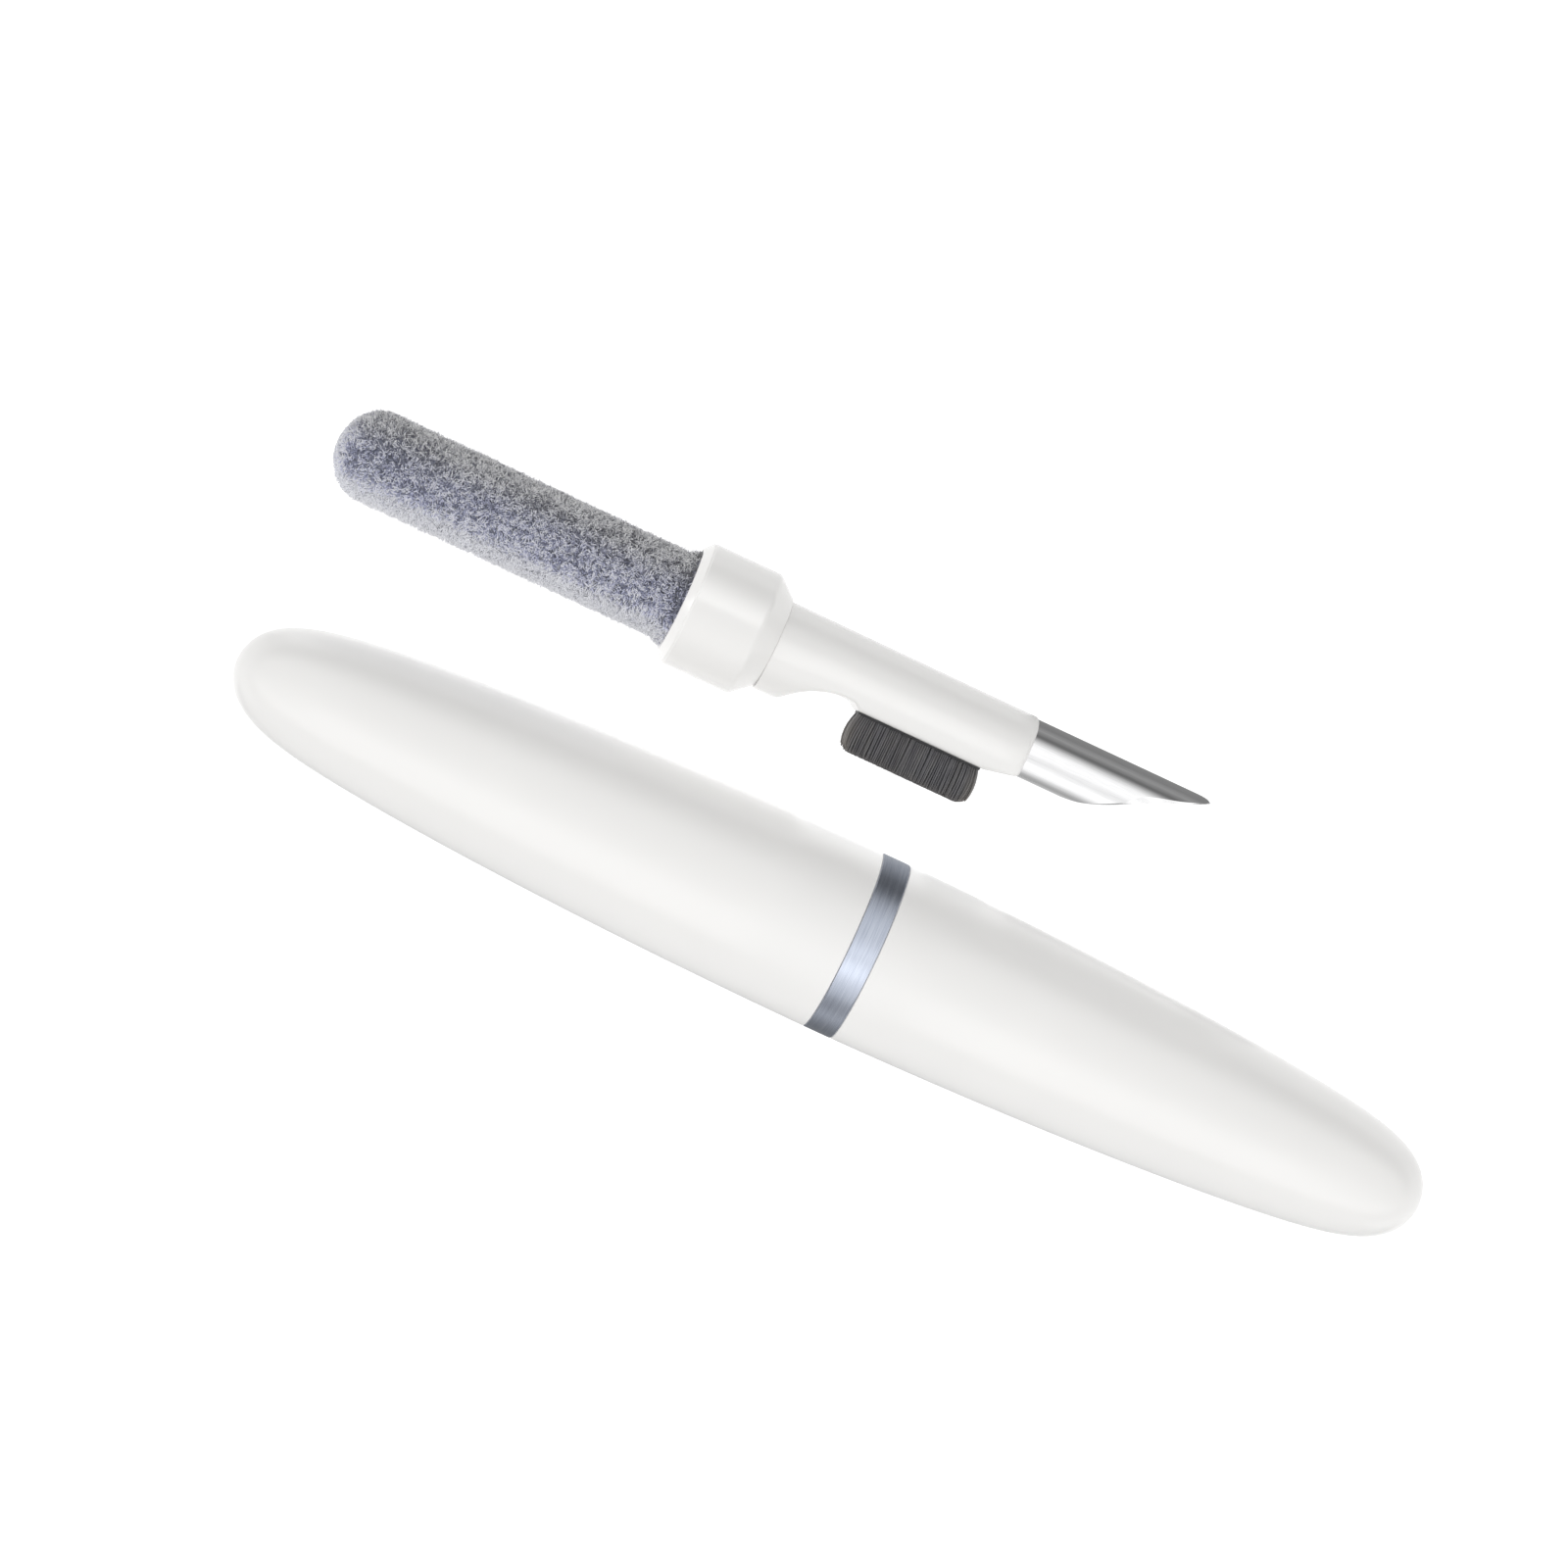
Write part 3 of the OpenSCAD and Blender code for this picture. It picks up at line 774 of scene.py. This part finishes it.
def ring_metal():
    m, nt, b = material("ring_brushed")
    b.inputs["Metallic"].default_value = 1.0
    # brushing runs round the axis: fine in X, nearly constant round the ring
    v = obj_coords(nt, (1.0, 0.02, 0.02))
    fine = noise_tex(nt, v, 15000, 3, 0.6)
    broad = noise_tex(nt, v, 2600, 2, 0.5)
    rc = ramp(nt, fine.outputs["Fac"], [(0.30, (0.515, 0.545, 0.625)), (0.52, (0.595, 0.622, 0.70)), (0.74, (0.69, 0.715, 0.785))])
    mix = node(nt, "ShaderNodeMix", data_type="RGBA", blend_type="MULTIPLY")
    mix.inputs["Factor"].default_value = 0.5
    nt.links.new(rc.outputs["Color"], mix.inputs[6])
    rb = ramp(nt, broad.outputs["Fac"], [(0.3, (0.84, 0.85, 0.87)), (0.7, (1, 1, 1))])
    nt.links.new(rb.outputs["Color"], mix.inputs[7])
    nt.links.new(mix.outputs[2], b.inputs["Base Color"])
    nt.links.new(map_range(nt, broad.outputs["Fac"], 0.3, 0.7, 0.21, 0.27), b.inputs["Roughness"])
    bump(nt, fine.outputs["Fac"], 0.12, 0.00001, b)
    return m


def nib_metal():
    m, nt, b = material("nib_polished")
    b.inputs["Metallic"].default_value = 1.0
    v = obj_coords(nt, (0.06, 1.0, 1.0))
    fine = noise_tex(nt, v, 9000, 3, 0.55)
    rc = ramp(nt, fine.outputs["Fac"], [(0.3, (0.594, 0.594, 0.598)), (0.7, (0.646, 0.646, 0.65))])
    nt.links.new(rc.outputs["Color"], b.inputs["Base Color"])
    # stoning marks run across the ground edge
    at = node(nt, "ShaderNodeAttribute", attribute_name="ground")
    marks = noise_tex(nt, obj_coords(nt, (1.0, 0.35, 0.2)), 5200, 3, 0.65)
    wear = noise_tex(nt, obj_coords(nt), 600, 3, 0.6)
    polish = map_range(nt, wear.outputs["Fac"], 0.3, 0.75, 0.045, 0.075)
    rough = node(nt, "ShaderNodeMix", data_type="FLOAT")
    nt.links.new(at.outputs["Fac"], rough.inputs["Factor"])
    nt.links.new(polish, rough.inputs[2])
    nt.links.new(map_range(nt, marks.outputs["Fac"], 0.3, 0.7, 0.22, 0.40), rough.inputs[3])
    nt.links.new(rough.outputs[0], b.inputs["Roughness"])
    h = node(nt, "ShaderNodeMath", operation="MULTIPLY")
    nt.links.new(marks.outputs["Fac"], h.inputs[0])
    nt.links.new(at.outputs["Fac"], h.inputs[1])
    n1 = bump(nt, h.outputs[0], 0.55, 0.00004, None)
    bump(nt, fine.outputs["Fac"], 0.05, 0.00001, b, n1)
    return m


def bristle_mat():
    m, nt, b = material("bristle_nylon")
    v = obj_coords(nt, (1.0, 0.06, 1.0))
    each = noise_tex(nt, v, 6200, 2, 0.6)
    tuft = noise_tex(nt, obj_coords(nt, (1.0, 0.16, 1.0)), 1100, 2, 0.5)
    rc = ramp(nt, each.outputs["Fac"], [(0.30, (0.088, 0.086, 0.092)), (0.5, (0.120, 0.118, 0.124)), (0.70, (0.172, 0.168, 0.170))])
    rt = ramp(nt, tuft.outputs["Fac"], [(0.35, (0.82, 0.82, 0.86)), (0.65, (1.0, 0.985, 0.96))])
    mix = node(nt, "ShaderNodeMix", data_type="RGBA", blend_type="MULTIPLY")
    mix.inputs["Factor"].default_value = 0.85
    nt.links.new(rc.outputs["Color"], mix.inputs[6])
    nt.links.new(rt.outputs["Color"], mix.inputs[7])
    # the two ends of the block are a little browner
    at = node(nt, "ShaderNodeAttribute", attribute_name="end")
    warm = node(nt, "ShaderNodeMix", data_type="RGBA", blend_type="MIX")
    nt.links.new(at.outputs["Fac"], warm.inputs["Factor"])
    nt.links.new(mix.outputs[2], warm.inputs[6])
    warm.inputs[7].default_value = (0.190, 0.174, 0.162, 1)
    nt.links.new(warm.outputs[2], b.inputs["Base Color"])
    nt.links.new(map_range(nt, each.outputs["Fac"], 0.3, 0.7, 0.36, 0.5), b.inputs["Roughness"])
    b.inputs["Specular IOR Level"].default_value = 0.45
    return m


def strip_mat():
    m, nt, b = material("backing_dark")
    v = obj_coords(nt)
    f = noise_tex(nt, v, 1800, 3, 0.6)
    rc = ramp(nt, f.outputs["Fac"], [(0.3, (0.012, 0.012, 0.013)), (0.7, (0.030, 0.030, 0.032))])
    nt.links.new(rc.outputs["Color"], b.inputs["Base Color"])
    nt.links.new(map_range(nt, f.outputs["Fac"], 0.3, 0.7, 0.45, 0.62), b.inputs["Roughness"])
    bump(nt, f.outputs["Fac"], 0.2, 0.00003, b)
    return m


def felt_mat():
    m, nt, b = material("flock_felt")
    v = obj_coords(nt)
    clump = noise_tex(nt, v, 2600, 3, 0.65, 0.3)
    rc = ramp(nt, clump.outputs["Fac"], [(0.35, (0.13, 0.135, 0.170)), (0.52, (0.20, 0.21, 0.26)), (0.66, (0.33, 0.34, 0.41))])
    sep = node(nt, "ShaderNodeSeparateXYZ")
    tc = node(nt, "ShaderNodeTexCoord")
    nt.links.new(tc.outputs["Object"], sep.inputs[0])
    side = map_range(nt, sep.outputs["Y"], (TOOL_Y + SWAB_R) * MM, (TOOL_Y - SWAB_R) * MM, 0.0, 1.0)
    # painted light: the felt is mixed towards pale grey on the near side, and a little at the far edge
    near = ramp(nt, side, [(0.0, (0.25,) * 3), (0.25, (0.0,) * 3), (0.66, (0.0,) * 3), (0.82, (0.60,) * 3), (1.0, (0.90,) * 3)])
    mix = node(nt, "ShaderNodeMix", data_type="RGBA", blend_type="MIX")
    nt.links.new(near.outputs["Color"], mix.inputs["Factor"])
    nt.links.new(rc.outputs["Color"], mix.inputs[6])
    mix.inputs[7].default_value = (0.74, 0.74, 0.77, 1)
    nt.links.new(mix.outputs[2], b.inputs["Base Color"])
    b.inputs["Roughness"].default_value = 0.9
    b.inputs["Specular IOR Level"].default_value = 0.15
    b.inputs["Sheen Weight"].default_value = 0.3
    return m


def flock_mat(name, lift):
    """Fibre colour: dark root to pale tip, with the dark root as painted shade; each tuft its own grey; warmer on the
    far side. Painted light makes the near side and the rounded end paler, painted shade makes the far flank a little
    darker and darkens the fibres next to the collar.
    """
    m, nt, b = material(name)
    tone = node(nt, "ShaderNodeAttribute", attribute_name="tone")
    v = obj_coords(nt)
    fine = noise_tex(nt, v, 4200, 2, 0.6)
    broad = noise_tex(nt, v, 420, 2, 0.5)
    sep = node(nt, "ShaderNodeSeparateXYZ")
    tc = node(nt, "ShaderNodeTexCoord")
    nt.links.new(tc.outputs["Object"], sep.inputs[0])
    side = map_range(nt, sep.outputs["Y"], (TOOL_Y + SWAB_R) * MM, (TOOL_Y - SWAB_R) * MM, 0.0, 1.0)
    along = map_range(nt, sep.outputs["X"], (U0 + 0.1) * MM, (U0 + 10.1) * MM, 0.0, 1.0)
    # painted shade: the fibres darken over the last 1.3 mm next to the collar
    painted_collar_shade = map_range(nt, sep.outputs["X"], (U0 + U_COL - 1.3) * MM, (U0 + U_COL) * MM, 0.0, 1.0)

    def math_node(op, x, y):
        n = node(nt, "ShaderNodeMath", operation=op)
        for i, q in enumerate((x, y)):
            if isinstance(q, (int, float)):
                n.inputs[i].default_value = q
            else:
                nt.links.new(q, n.inputs[i])
        return n.outputs[0]

    t = math_node("ADD", tone.outputs["Fac"], math_node("MULTIPLY", math_node("SUBTRACT", fine.outputs["Fac"], 0.5), 0.55))
    t = math_node("ADD", t, math_node("MULTIPLY", math_node("SUBTRACT", broad.outputs["Fac"], 0.5), 0.25))
    # painted light and shade by side: the near side is made much paler, the far flank a little darker
    painted_side_light = ramp(nt, side, [(x, (y + 0.1,) * 3) for x, y in ((0.0, 0.08), (0.12, 0.0), (0.22, -0.09), (0.40, -0.05), (0.50, 0.0), (0.60, 0.0), (0.70, 0.04), (0.78, 0.24), (0.86, 0.72), (1.0, 0.9))])
    # painted light: the fibres are made paler at the rounded end, and a little darker just behind it
    end = ramp(nt, along, [(x, (y + 0.1,) * 3) for x, y in ((0.0, 0.55), (0.16, 0.0), (0.22, -0.10), (0.50, -0.10), (1.0, 0.0))])
    t = math_node("ADD", t, painted_side_light.outputs["Color"])
    t = math_node("ADD", t, end.outputs["Color"])
    t = math_node("SUBTRACT", t, math_node("MULTIPLY", painted_collar_shade, 0.42))
    t = math_node("ADD", t, lift - 0.2)
    cool = ramp(nt, t, [(0.0, (0.10, 0.108, 0.165)), (0.30, (0.34, 0.36, 0.52)), (0.55, (0.74, 0.755, 0.93)), (0.85, (0.905, 0.91, 0.985)), (1.0, (0.935, 0.94, 0.98))])
    warm = ramp(nt, t, [(0.0, (0.17, 0.168, 0.168)), (0.30, (0.46, 0.458, 0.456)), (0.55, (0.76, 0.758, 0.75)), (0.85, (0.91, 0.908, 0.895)), (1.0, (0.94, 0.94, 0.93))])
    wm = ramp(nt, side, [(0.0, (0.95,) * 3), (0.22, (0.75,) * 3), (0.45, (0.12,) * 3), (0.70, (0.0,) * 3), (0.92, (0.0,) * 3), (1.0, (0.35,) * 3)])
    mix = node(nt, "ShaderNodeMix", data_type="RGBA", blend_type="MIX")
    high = map_range(nt, sep.outputs["Z"], (TOOL_Z - 2.2) * MM, (TOOL_Z + 1.2) * MM, 0.40, 1.0)
    nt.links.new(math_node("MULTIPLY", wm.outputs["Color"], high), mix.inputs["Factor"])
    nt.links.new(cool.outputs["Color"], mix.inputs[6])
    nt.links.new(warm.outputs["Color"], mix.inputs[7])
    nt.links.new(mix.outputs[2], b.inputs["Base Color"])
    b.inputs["Roughness"].default_value = 0.8
    b.inputs["Specular IOR Level"].default_value = 0.2
    b.inputs["Sheen Weight"].default_value = 0.85
    b.inputs["Sheen Roughness"].default_value = 0.45
    b.inputs["Sheen Tint"].default_value = (0.9, 0.91, 0.97, 1)
    return m


M_RING, M_NIB, M_BRIST, M_STRIP = ring_metal(), nib_metal(), bristle_mat(), strip_mat()
M_FELT = felt_mat()
M_FLOCK_A = flock_mat("flock_long", 0.04)
M_FLOCK_B = flock_mat("flock_short", -0.05)


def foam_mat():
    m, nt, b = material("foam_core")
    v = obj_coords(nt)
    vo = node(nt, "ShaderNodeTexVoronoi")
    vo.inputs["Scale"].default_value = 2600
    nt.links.new(v, vo.inputs["Vector"])
    rc = ramp(nt, vo.outputs["Distance"], [(0.1, (0.10, 0.105, 0.125)), (0.6, (0.26, 0.27, 0.31))])
    nt.links.new(rc.outputs["Color"], b.inputs["Base Color"])
    b.inputs["Roughness"].default_value = 0.9
    bump(nt, vo.outputs["Distance"], 0.5, 0.0001, b)
    return m


M_FOAM = foam_mat()

# ---------------------------------------------------------------- pieces onto bodies
for ob, body, cad, slot, mat in (
    (rear, "rear_half", "rear_shell", "shell_white", M_SHELL),
    (ring, "rear_half", "trim_ring", "ring_steel", M_RING),
    (sleeve, "rear_half", "coupling_sleeve", "sleeve_white", M_SLEEVE),
    (cap, "cap", "front_cap", "shell_white", M_SHELL),
    (collar, "tool", "collar", "tool_white", M_TOOL),
    (barrel, "tool", "barrel", "tool_white", M_TOOL),
    (nib, "tool", "nib", "nib_metal", M_NIB),
    (strip, "tool", "brush_backing", "backing_dark", M_STRIP),
    (brist, "tool", "brush_bristles", "bristle", M_BRIST),
    (foam, "tool", "swab_foam", "foam", M_FOAM),
    (felt, "tool", "flock_cover", "flock", M_FELT),
    (flock_a, "tool", "flock_cover", "flock", M_FLOCK_A),
    (flock_b, "tool", "flock_cover", "flock", M_FLOCK_B),
    (flock_c, "tool", "flock_cover", "flock", M_FLOCK_A),
):
    ob.data.materials.append(mat)
    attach(ob, body)
    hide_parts(cad)

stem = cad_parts["swab_stem"]
stem.data.materials.clear()
stem.data.materials.append(M_SLEEVE)

# ---------------------------------------------------------------- stage: floor, cards, lights, camera
def floor_mat():
    """A pale backlit table: it glows a little, so shadows on it stay faint."""
    m, nt, b = material("floor_pale")
    v = obj_coords(nt)
    f = noise_tex(nt, v, 6, 2, 0.5)
    rc = ramp(nt, f.outputs["Fac"], [(0.3, (0.295, 0.295, 0.295)), (0.7, (0.305, 0.305, 0.305))])
    nt.links.new(rc.outputs["Color"], b.inputs["Base Color"])
    b.inputs["Roughness"].default_value = 0.9
    b.inputs["Specular IOR Level"].default_value = 0.0
    b.inputs["Emission Color"].default_value = (1, 1, 1, 1)
    b.inputs["Emission Strength"].default_value = FLOOR_GLOW
    return m


FLOOR_GLOW = 0.98
fl = make("floor", [(-2500, -2500, -0.05), (2500, -2500, -0.05), (2500, 2500, -0.05), (-2500, 2500, -0.05)], [[0, 1, 2, 3]], None)
fl.data.materials.append(floor_mat())


def emission(name, col, strength):
    m = bpy.data.materials.new(name)
    m.use_nodes = True
    nt = m.node_tree
    nt.nodes.clear()
    out = nt.nodes.new("ShaderNodeOutputMaterial")
    e = nt.nodes.new("ShaderNodeEmission")
    e.inputs["Color"].default_value = (*col, 1)
    e.inputs["Strength"].default_value = strength
    nt.links.new(e.outputs[0], out.inputs["Surface"])
    return m


def card(name, x0, x1, path, col=(0.94, 0.97, 1.0), only=None):
    """A studio card that only reflections see, from its front: a strip along X through (y, z, glow) points.
    With only, it is a veil that adds its light to those pieces and that everything else looks straight through."""
    V, F, G = [], [], []
    for y, z, g in path:
        V += [(x0, y, z), (x1, y, z)]
        G += [g, g]
    for i in range(len(path) - 1):
        F.append([2 * i, 2 * i + 1, 2 * i + 3, 2 * i + 2])
    ob = make(name, V, F, None)
    at = ob.data.attributes.new("glow", "FLOAT", "POINT")
    at.data.foreach_set("value", np.array(G, np.float32))
    m = bpy.data.materials.new(name)
    m.use_nodes = True
    nt = m.node_tree
    nt.nodes.clear()
    out = nt.nodes.new("ShaderNodeOutputMaterial")
    e = nt.nodes.new("ShaderNodeEmission")
    e.inputs["Color"].default_value = (*col, 1)
    tr = nt.nodes.new("ShaderNodeBsdfTransparent")
    attr = nt.nodes.new("ShaderNodeAttribute")
    attr.attribute_name = "glow"
    nt.links.new(attr.outputs["Fac"], e.inputs["Strength"])
    if only:
        mix = nt.nodes.new("ShaderNodeAddShader")
        nt.links.new(e.outputs[0], mix.inputs[0])
        nt.links.new(tr.outputs[0], mix.inputs[1])
        on = bpy.data.collections.new(name + "_on")
        for t in only:
            on.objects.link(t)
        ob.light_linking.receiver_collection = on
    else:
        mix = nt.nodes.new("ShaderNodeMixShader")
        geo = nt.nodes.new("ShaderNodeNewGeometry")
        nt.links.new(geo.outputs["Backfacing"], mix.inputs[0])
        nt.links.new(e.outputs[0], mix.inputs[1])
        nt.links.new(tr.outputs[0], mix.inputs[2])
    nt.links.new(mix.outputs[0], out.inputs["Surface"])
    ob.data.materials.append(m)
    for k in ("visible_camera", "visible_diffuse", "visible_shadow", "visible_transmission", "visible_volume_scatter"):
        setattr(ob, k, False)
    ob.visible_glossy = True
    return ob


def arc(cy, cz, radius, side, stops):
    """Points round (cy, cz), each stop being (angle from the zenith, glow), towards side (+1 for +Y)."""
    out = []
    for (a0, g0), (a1, g1) in zip(stops, stops[1:]):
        for k in range(4):
            a = math.radians(a0 + (a1 - a0) * k / 4)
            out.append((cy + side * radius * math.sin(a), cz + radius * math.cos(a), g0 + (g1 - g0) * k / 4))
    a = math.radians(stops[-1][0])
    out.append((cy + side * radius * math.sin(a), cz + radius * math.cos(a), stops[-1][1]))
    return out


def around(points):
    """Card points given from the case's axis."""
    return [(CASE_Y + dy, z, g) for dy, z, g in points]


# round the ring, from the floor on its far side over the top to the floor on its near side
card("card_ring", -6, 12.5, around([
    (10.5, 0.15, 0.50), (15.5, 0.15, 0.50), (15.5, 2.0, 0.47), (15.5, 6.1, 0.40), (15.5, 8.6, 0.32), (16.0, 10.3, 0.25), (17.4, 11.8, 0.17), (17.4, 15.2, 0.13), (17.4, 18.6, 0.21), (17.4, 22.2, 0.47),
    (17.4, 26.4, 0.64), (17.4, 31.9, 0.79), (16.3, 38.0, 0.88), (11.9, 40.2, 0.89), (7.2, 41.7, 0.92), (2.4, 42.4, 1.07), (-2.4, 42.4, 1.28),
    (-7.2, 41.7, 1.16), (-11.9, 40.2, 1.47), (-16.3, 38.0, 1.54), (-20.4, 35.1, 1.16), (-24.1, 31.3, 0.96), (-27.3, 26.8, 0.80),
    (-29.7, 21.6, 0.44), (-31.1, 15.5, 0.40), (-31.2, 8.6, 0.58), (-29.3, 0.15, 0.36), (-17.2, 0.15, 0.22), (-9.0, 0.15, 0.24)]))
# low on the case's near side, past the ring's own card at both ends
for k, (xa, xb) in enumerate(((-75, -6), (12.5, 75))):
    card("card_near_%d" % k, xa, xb, arc(CASE_Y, CASE_Z, 30, -1, [(74, 0.75), (82, 0.50), (92, 0.38), (106, 0.36)]) + around([(-17.2, 0.15, 0.30), (-9.0, 0.15, 0.30)]))
# round the nib
NIB_Y = TOOL_Y + NIB_OFF
card("card_nib", 9.2, 42, [(NIB_Y + 2.5, 0.15, 0.327), (NIB_Y + 9.5, 0.15, 0.327)] + arc(NIB_Y, TOOL_Z, 12, 1, [
    (116, 0.327), (107, 0.32), (98, 0.313), (89, 0.375), (75, 0.45), (69, 0.382), (62, 0.32), (55, 0.232), (50, 0.232), (46, 0.341), (39, 0.627),
    (29, 1.09), (19, 1.472), (9, 1.608), (0, 1.608)])
     + arc(NIB_Y, TOOL_Z, 12, -1, [
    (5, 1.608), (10, 1.608), (20, 1.39), (30, 1.322), (41, 1.472), (52, 1.772), (64, 1.731), (77, 1.472), (85, 1.172), (92, 0.981), (101, 0.709), (110, 0.6), (118, 0.572)])
     + [(NIB_Y - 9.5, 0.15, 0.613), (NIB_Y - 2.5, 0.15, 0.75)], (1, 1, 1))
# the case's soft streak and the light along its far rim
card("veil_case", -64, 64, around([(-8.2, 48, 0.0), (-14.5, 46, 0.9), (-21.5, 42, 1.15), (-27.5, 38, 0.0)])[::-1], (1, 1, 1), [rear, cap])
for k, (xa, xb, g) in enumerate(((-64, -45, 0.57), (-45, -34, 0.66), (-34, -26, 0.72), (-26, -16, 0.68), (-16, -6.5, 0.64), (-6.5, 6.5, 1.38), (6.5, 15, 0.80), (15, 34, 0.42), (34, 64, 0.19))):
    card("veil_rim_%d" % k, xa, xb, around([(8.9, 0.2, 1.1 * g), (15.4, 0.2, 1.3 * g), (15.4, 2.3, 1.3 * g), (15.4, 5.5, 1.8 * g), (15.4, 8.6, 2.1 * g), (15.4, 12.1, 1.4 * g), (15.4, 14.9, 0.0)])[::-1],
         (1, 1, 1), [rear, cap])
# streaks on the collar and the barrel
card("veil_collar", U0 + 30, U0 + 46, arc(TOOL_Y, TOOL_Z, 20, 1, [(10, 0.0), (13, 2.9), (24, 2.6), (34, 1.5), (46, 0.5), (56, 0.0)])[::-1], (1, 1, 1), [collar])
card("veil_barrel", U0 + 43.8, U0 + 75, arc(TOOL_Y, TOOL_Z, 20, 1, [(-26, 0.0), (-20, 1.8), (-4, 2.3), (10, 1.3), (24, 0.0)])[::-1], (1, 1, 1), [barrel])

# sky: brightness by angle about the object's long direction, from the +Y horizon over the top to the -Y horizon
SKY = [0.05, 0.0, 0.32, 1.05, 0.99, 0.93, 0.90, 1.00, 1.18, 1.46, 1.23, 0.0, 0.0]
world = bpy.data.worlds.new("studio")
bpy.context.scene.world = world
world.use_nodes = True
wt = world.node_tree
wt.nodes.clear()
w_out = wt.nodes.new("ShaderNodeOutputWorld")
w_bg = wt.nodes.new("ShaderNodeBackground")
w_cam = wt.nodes.new("ShaderNodeBackground")
w_mix = wt.nodes.new("ShaderNodeMixShader")
w_lp = wt.nodes.new("ShaderNodeLightPath")
w_tc = wt.nodes.new("ShaderNodeTexCoord")
w_sep = wt.nodes.new("ShaderNodeSeparateXYZ")
w_at = wt.nodes.new("ShaderNodeMath")
w_at.operation = "ARCTAN2"
w_neg = wt.nodes.new("ShaderNodeMath")
w_neg.operation = "MULTIPLY"
w_neg.inputs[1].default_value = -1.0
wt.links.new(w_tc.outputs["Generated"], w_sep.inputs[0])
wt.links.new(w_sep.outputs["Y"], w_neg.inputs[0])
wt.links.new(w_neg.outputs[0], w_at.inputs[0])
wt.links.new(w_sep.outputs["Z"], w_at.inputs[1])
w_fac = map_range(wt, w_at.outputs[0], -math.pi / 2, math.pi / 2, 0.0, 1.0)
w_ramp = ramp(wt, w_fac, [(i / 12, (v / 2.5,) * 3) for i, v in enumerate(SKY)])
wt.links.new(w_ramp.outputs["Color"], w_bg.inputs["Color"])
w_bg.inputs["Strength"].default_value = 2.5
w_cam.inputs["Color"].default_value = (1, 1, 1, 1)
w_cam.inputs["Strength"].default_value = 1.05
wt.links.new(w_lp.outputs["Is Camera Ray"], w_mix.inputs[0])
wt.links.new(w_bg.outputs[0], w_mix.inputs[1])
wt.links.new(w_cam.outputs[0], w_mix.inputs[2])
wt.links.new(w_mix.outputs[0], w_out.inputs["Surface"])


def strip_light(name, angle, radiance, width_deg, targets, centre, length=3.0, dist=0.6):
    """A long softbox over the centre, tilted by angle towards -Y, that lights only its targets."""
    l = bpy.data.lights.new(name, "AREA")
    l.shape = "RECTANGLE"
    l.size, l.size_y = length, 2 * dist * math.tan(math.radians(width_deg / 2))
    l.energy = radiance * math.pi * l.size * l.size_y
    o = bpy.data.objects.new(name, l)
    a = math.radians(angle)
    c = Vector(centre) * MM
    o.location = c + Vector((0, -math.sin(a), math.cos(a))) * dist
    o.rotation_euler = (a, 0, 0)
    bpy.context.scene.collection.objects.link(o)
    col = bpy.data.collections.new(name + "_on")
    for t in targets:
        col.objects.link(t)
    o.light_linking.receiver_collection = col
    return o


strip_light("key_near", 57, 1.0, 15, [rear, cap], (0, CASE_Y, CASE_Z))
strip_light("key_far", -38, 0.35, 30, [rear, cap], (0, CASE_Y, CASE_Z))
strip_light("key_tool", -15, 0.55, 15, [collar, barrel], (0, TOOL_Y, TOOL_Z))


# the swab's near flank
strip_light("key_swab", 80, 0.72, 20, [felt, flock_a, flock_b, flock_c], (0, TOOL_Y, TOOL_Z))


def lip_light():
    """Low light from the swab's end that picks out the collar's chamfer."""
    l = bpy.data.lights.new("key_lip", "AREA")
    l.shape = "DISK"
    l.size = 0.1
    l.energy = 0.55
    o = bpy.data.objects.new("key_lip", l)
    d = Vector((-math.cos(math.radians(9)), 0, math.sin(math.radians(9))))
    o.location = Vector((U0 + U_COL, TOOL_Y, TOOL_Z)) * MM + d * 0.5
    o.rotation_euler = d.to_track_quat("Z", "Y").to_euler()
    bpy.context.scene.collection.objects.link(o)
    on = bpy.data.collections.new("key_lip_on")
    on.objects.link(collar)
    o.light_linking.receiver_collection = on
    return o


lip_light()

cam_d = bpy.data.cameras.new("camera")
cam = bpy.data.objects.new("camera", cam_d)
bpy.context.scene.collection.objects.link(cam)
cam_d.sensor_fit = "HORIZONTAL"
cam_d.sensor_width = 36.0
DIST = 1.0
PX_PER_MM = 11.13
cam_d.lens = PX_PER_MM * DIST * 1000 * 36.0 / 1600.0
cam_d.clip_start, cam_d.clip_end = 0.01, 20.0
tilt, roll = math.radians(5.0), math.radians(24.96)
xp = Vector((math.cos(tilt), 0, math.sin(tilt)))
yp = Vector((0, 1, 0))
back = Vector((-math.sin(tilt), 0, math.cos(tilt)))
right = xp * math.cos(roll) + yp * math.sin(roll)
up = -xp * math.sin(roll) + yp * math.cos(roll)
target = Vector((-9.71, 1.0, 8.75)) * MM
pos = target + back * DIST
cam.matrix_world = Matrix(((right.x, up.x, back.x, pos.x), (right.y, up.y, back.y, pos.y), (right.z, up.z, back.z, pos.z), (0, 0, 0, 1)))
bpy.context.scene.camera = cam

bpy.context.scene.view_settings.view_transform = "Standard"
bpy.context.scene.view_settings.look = "None"
bpy.context.scene.view_settings.exposure = 0.0
